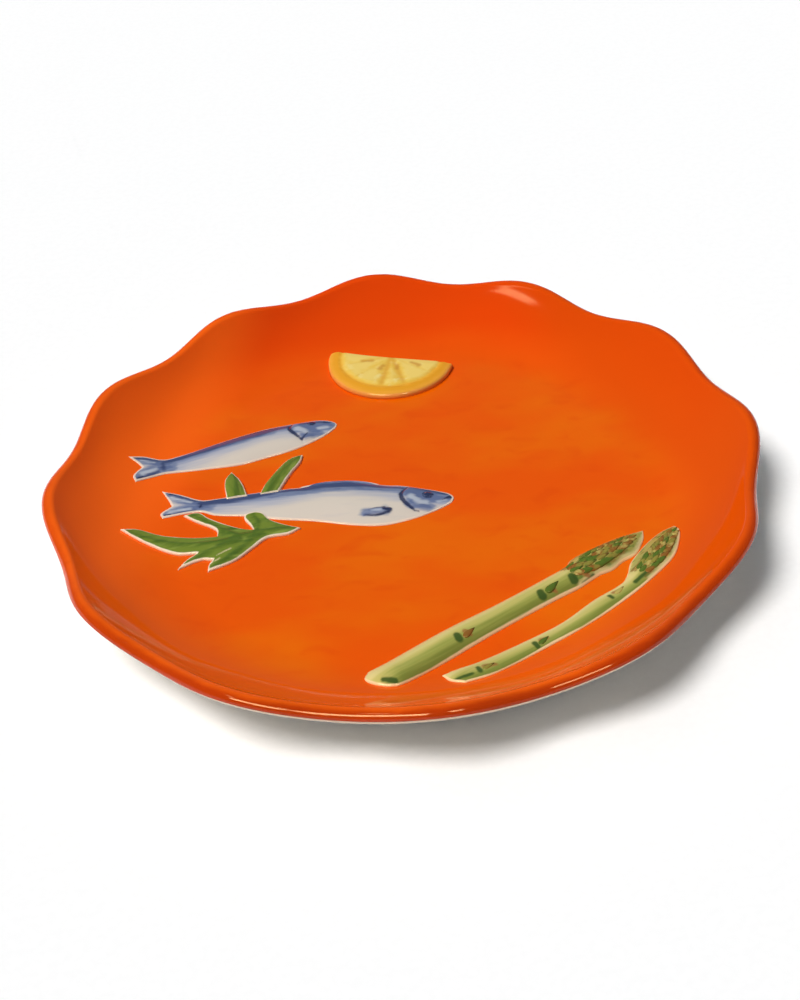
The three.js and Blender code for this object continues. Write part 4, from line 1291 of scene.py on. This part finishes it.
# %% The thick spear
thick_upper = [(-17.6, -96.4), (-9.5, -91.4), (9.7, -78.8), (29.7, -67.4), (49.7, -55), (56.4, -50.4),
               (59, -46.8), (65.5, -42.6), (78, -36.4), (88, -33.2)]
thick_lower = [(87.6, -37.4), (85.9, -41.7), (83, -46.5), (78, -49.8), (73.6, -53.8), (68.4, -56.2),
               (60.5, -62), (51.3, -67.3), (29.7, -80.6), (9.7, -94.2), (-3.4, -103.2)]
thick_runs = [thick_upper, thick_lower, [(-8, -105.4), (-14, -104.4), (-18.6, -100.6), (-17.6, -96.4)]]
thick_spine = [(-14, -101), (20, -79.6), (55, -56.4), (72, -46), (87.6, -33.8)]
thick_nodes = [
    ([(14.2, -84.4), (14.8, -86)], [1.2, 1.4]), ([(-12.4, -103), (-8.4, -104)], [0.8, 1.0]),
    ([(45.6, -65.4), (46.2, -67.2)], [1.3, 1.6]),
    ([(57.8, -58.4), (58.4, -60)], [1.3, 1.6]), ([(62, -61), (66, -57.4)], [0.7, 0.8]),
]
thick_rust = [
    ([(17, -82.6), (19, -84)], [0.9, 0.6]), ([(49, -64), (51.4, -65)], [1.0, 0.6]),
    ([(61.4, -56.6), (64, -57.6)], [1.1, 0.7]),
]
thick_rows = [(37, -2.4, 0.2, 0.9), (74.5, -3.0, 0.2, 1.1)]
thick_rows += head_rows(87, 2.9, [3.8, 4.4, 4.8, 4.8, 4.6, 4.2, 3.8, 3.2, 2.4, 1.6, 0.8])
thick_shape = spear_shape(thick_upper, thick_lower, thick_spine, 84, 3.5, thick_nodes, thick_rust)
spear("asparagus_thick", thick_runs, (-15, -101), 33.2, thick_shape, thick_spine, thick_rows,
      "thick_asparagus", length=6.6 * MM, width=3.8 * MM, thickness=1.0 * MM, seed=4)

# %% [markdown]
# The thin spear bends upwards. It passes through the same steps, with smaller leaves.

# %% The thin spear
thin_upper = [(7.8, -101.4), (13, -98.8), (20.5, -96.1), (36.3, -88.2), (51.3, -79.8), (64.7, -69),
              (75.5, -61.9), (78.4, -56.8), (80.2, -51.4), (84.7, -45), (89.7, -39.4), (94.7, -35.6),
              (99.6, -33.9)]
thin_lower = [(100.9, -37.5), (98.8, -46.5), (95.5, -53.3), (87.2, -61.7), (75.5, -71.6), (60.5, -82.5),
              (43.8, -92.9), (31.3, -100.6), (24, -104.6), (15.4, -107.4)]
thin_runs = [thin_upper, thin_lower, [(10.5, -105.4), (7.8, -101.4)]]
thin_spine = [(11, -103.4), (26, -98.4), (50, -83.6), (70, -68.6), (84, -57), (92, -47), (99.8, -35)]
thin_nodes = [
    ([(20, -101), (20.8, -103)], [0.8, 0.8]), ([(40.6, -90.4), (41.6, -92.4)], [0.9, 0.9]),
    ([(69.8, -69.6), (70.8, -71)], [0.7, 0.7]), ([(12.4, -105.6), (18, -104)], [0.6, 0.5]),
    ([(80, -64), (85, -59.6)], [0.8, 0.6]),
]
thin_rust = [
    ([(22.6, -100.6), (26.4, -100)], [1.1, 0.6]), ([(43, -89), (45.4, -88.2)], [0.9, 0.6]),
    ([(71.4, -68), (73.4, -67.2)], [0.8, 0.5]),
]
thin_rows = [(13, -1.2, 0.2, 0.8), (36, -1.4, 0.2, 0.85), (73, -1.2, 0.2, 0.85)]
thin_rows += head_rows(87, 2.8, [3.0, 3.6, 4.0, 4.0, 3.8, 3.4, 2.8, 2.2, 1.6, 0.8])
thin_shape = spear_shape(thin_upper, thin_lower, thin_spine, 84, 2.9, thin_nodes, thin_rust)
spear("asparagus_thin", thin_runs, (10.5, -103.6), 33, thin_shape, thin_spine, thin_rows,
      "thin_asparagus", length=6.2 * MM, width=3.6 * MM, thickness=0.9 * MM, seed=9)

# %% [markdown]
# ## Floor, light and camera
# The plate stands on a white sheet. Far off it rises slowly and is painted grey, as painted shade for the dim
# room beyond, so the glaze mirrors no hard edge of it. Paper is matt, so it gets no shine at all, only a
# faint tooth.

# %% Paper floor and sweep
# The floor is in metres: flat at first, then rising to its reach, with painted shade turning it grey between
# the last two.
FLAT_REACH = 1.0
REACH = 28.0
SWEEP_HEIGHT = 1.9
SWEEP_RINGS = 16
SWEEP_SIDES = 64
PAINTED_SHADE_FROM, PAINTED_SHADE_TO = 3.0, 14.0


def paper_white():
    """Matt white paper with painted shade far off, where it turns grey for the light of the room falling
    away. Its faint tooth is drawn at 3 mm because the real one is too fine to show."""
    material = bpy.data.materials.new("matt white paper")
    material.use_nodes = True
    tree = material.node_tree
    shader = tree.nodes["Principled BSDF"]
    place = add_node(tree, "ShaderNodeTexCoord").outputs["Object"]
    tooth = add_node(tree, "ShaderNodeTexNoise", {"Vector": place, "Scale": 1 / (3 * MM)})
    colour = paint(tree, "FFFFFF", "FDFDFD", tooth, 0.3, 0.7)
    # Painted shade: far off the paper is grey.
    radius = add_node(tree, "ShaderNodeVectorMath", {0: place}, operation="LENGTH").outputs["Value"]
    colour = paint(tree, colour, "7C7C7C", radius, PAINTED_SHADE_FROM, PAINTED_SHADE_TO)
    tree.links.new(colour, shader.inputs["Base Color"])
    shader.inputs["Roughness"].default_value = 0.9
    shader.inputs["Specular IOR Level"].default_value = 0.0
    return material


def paper_sweep():
    """A round sheet, flat round the plate, that rises slowly towards its far edge."""
    shares = [k / SWEEP_RINGS for k in range(SWEEP_RINGS + 1)]
    turns = [math.tau * k / SWEEP_SIDES for k in range(SWEEP_SIDES)]
    points = [(0.0, 0.0, 0.0)]
    for share in shares:
        radius = FLAT_REACH + (REACH - FLAT_REACH) * share
        height = SWEEP_HEIGHT * share ** 1.5
        points += [(radius * math.cos(a), radius * math.sin(a), height) for a in turns]
    faces = [(0, 1 + k, 1 + (k + 1) % SWEEP_SIDES) for k in range(SWEEP_SIDES)]
    for ring in range(SWEEP_RINGS):
        start = 1 + ring * SWEEP_SIDES
        pairs = [(start + k, start + (k + 1) % SWEEP_SIDES) for k in range(SWEEP_SIDES)]
        faces += [(a, a + SWEEP_SIDES, b + SWEEP_SIDES, b) for a, b in pairs]
    return plain_object("paper_sweep", points, (), faces)


floor = paper_sweep()
floor.data.materials.append(paper_white())
floor.data.shade_smooth()
print("floor:", round(2 * REACH, 1), "m of paper")


# %% [markdown]
# Plain soft studio light: one broad light from the left, a little in front, which throws the shadow to the
# right, a weak one from behind that lights the near wall, and a dim, cool, even sky. The broad lights are
# left out of the glaze's reflections, so it shows no image of them. Three small warm softboxes are there to
# be mirrored alone, as a bright patch on the far wall and as lines on the near lip.

# %% Light
def lamp(name, kind, power, azimuth, elevation, **settings):
    """A lamp a metre from the plate, by its compass direction and height in degrees, that faces the plate."""
    light = bpy.data.lights.new(name, kind)
    light.energy = power
    for key, value in settings.items():
        setattr(light, key, value)
    obj = bpy.data.objects.new(name, light)
    bpy.context.scene.collection.objects.link(obj)
    a, e = math.radians(azimuth), math.radians(elevation)
    obj.location = (math.cos(a) * math.cos(e), math.sin(a) * math.cos(e), math.sin(e))
    obj.rotation_mode = "QUATERNION"
    obj.rotation_quaternion = obj.location.to_track_quat("Z", "Y")
    print(name, "at", azimuth, "degrees round and", elevation, "up")
    return obj


broad_lights = [
    lamp("broad_light", "SUN", 2.8, -153, 62.5, angle=math.radians(26), color=(1.0, 0.965, 0.93)),
    lamp("back_light", "SUN", 0.57, 135, 62, angle=math.radians(60)),
]
for light in broad_lights:
    light.visible_glossy = False
    # With this sampling on, a faint image of the lamp would stay in the glaze.
    light.data.cycles.use_multiple_importance_sampling = False
WARM = (1.0, 0.72, 0.34)
# A softbox has a name, its watts, its degrees round and up, and its width and height in metres.
softboxes = [
    ("wall_softbox", 0.42, -158, 56.6, 0.16, 0.08),
    ("lip_strip", 13, -120, 39, 0.6, 0.26),
    ("side_strip", 2.8, -67.6, 41, 0.2, 0.22),
]
for name, power, azimuth, elevation, width, height in softboxes:
    light = lamp(name, "AREA", power, azimuth, elevation, shape="RECTANGLE", size=width, size_y=height,
                 color=WARM)
    light.visible_diffuse = False
SKY = (0.05, 0.08, 0.11, 1.0)
world = bpy.data.worlds.new("even_sky")
world.use_nodes = True
world.node_tree.nodes["Background"].inputs["Color"].default_value = SKY
bpy.context.scene.world = world

# %% [markdown]
# The camera stands where the photographer's did. Its numbers come from fitting the lobed rim of the measured
# plate to the outline in the photograph: height above the table, distance, and small turns.

# %% Camera
# Angles in radians, and the distance from the plate's axis at the height of the lip.
ELEVATION, YAW, PITCH, ROLL = 0.6498, 0.0028, -0.02131, -0.08438
DISTANCE = 617.12
LENS, SENSOR = 57.688, 36.0
camera = bpy.data.cameras.new("photo_camera")
camera.lens = LENS
camera.sensor_width = SENSOR
eye = bpy.data.objects.new("photo_camera", camera)
bpy.context.scene.collection.objects.link(eye)
spot = Vector((0, -DISTANCE * math.cos(ELEVATION), DISTANCE * math.sin(ELEVATION) + LIP_HEIGHT)) * MM
turn = Matrix.Rotation(math.pi / 2 - ELEVATION, 4, "X") @ Matrix.Rotation(YAW, 4, "Y")
turn = turn @ Matrix.Rotation(PITCH, 4, "X") @ Matrix.Rotation(ROLL, 4, "Z")
eye.matrix_world = Matrix.Translation(spot) @ turn
bpy.context.scene.camera = eye
bpy.context.scene.view_settings.view_transform = "Standard"
print("camera at", [round(v, 3) for v in spot], "m")
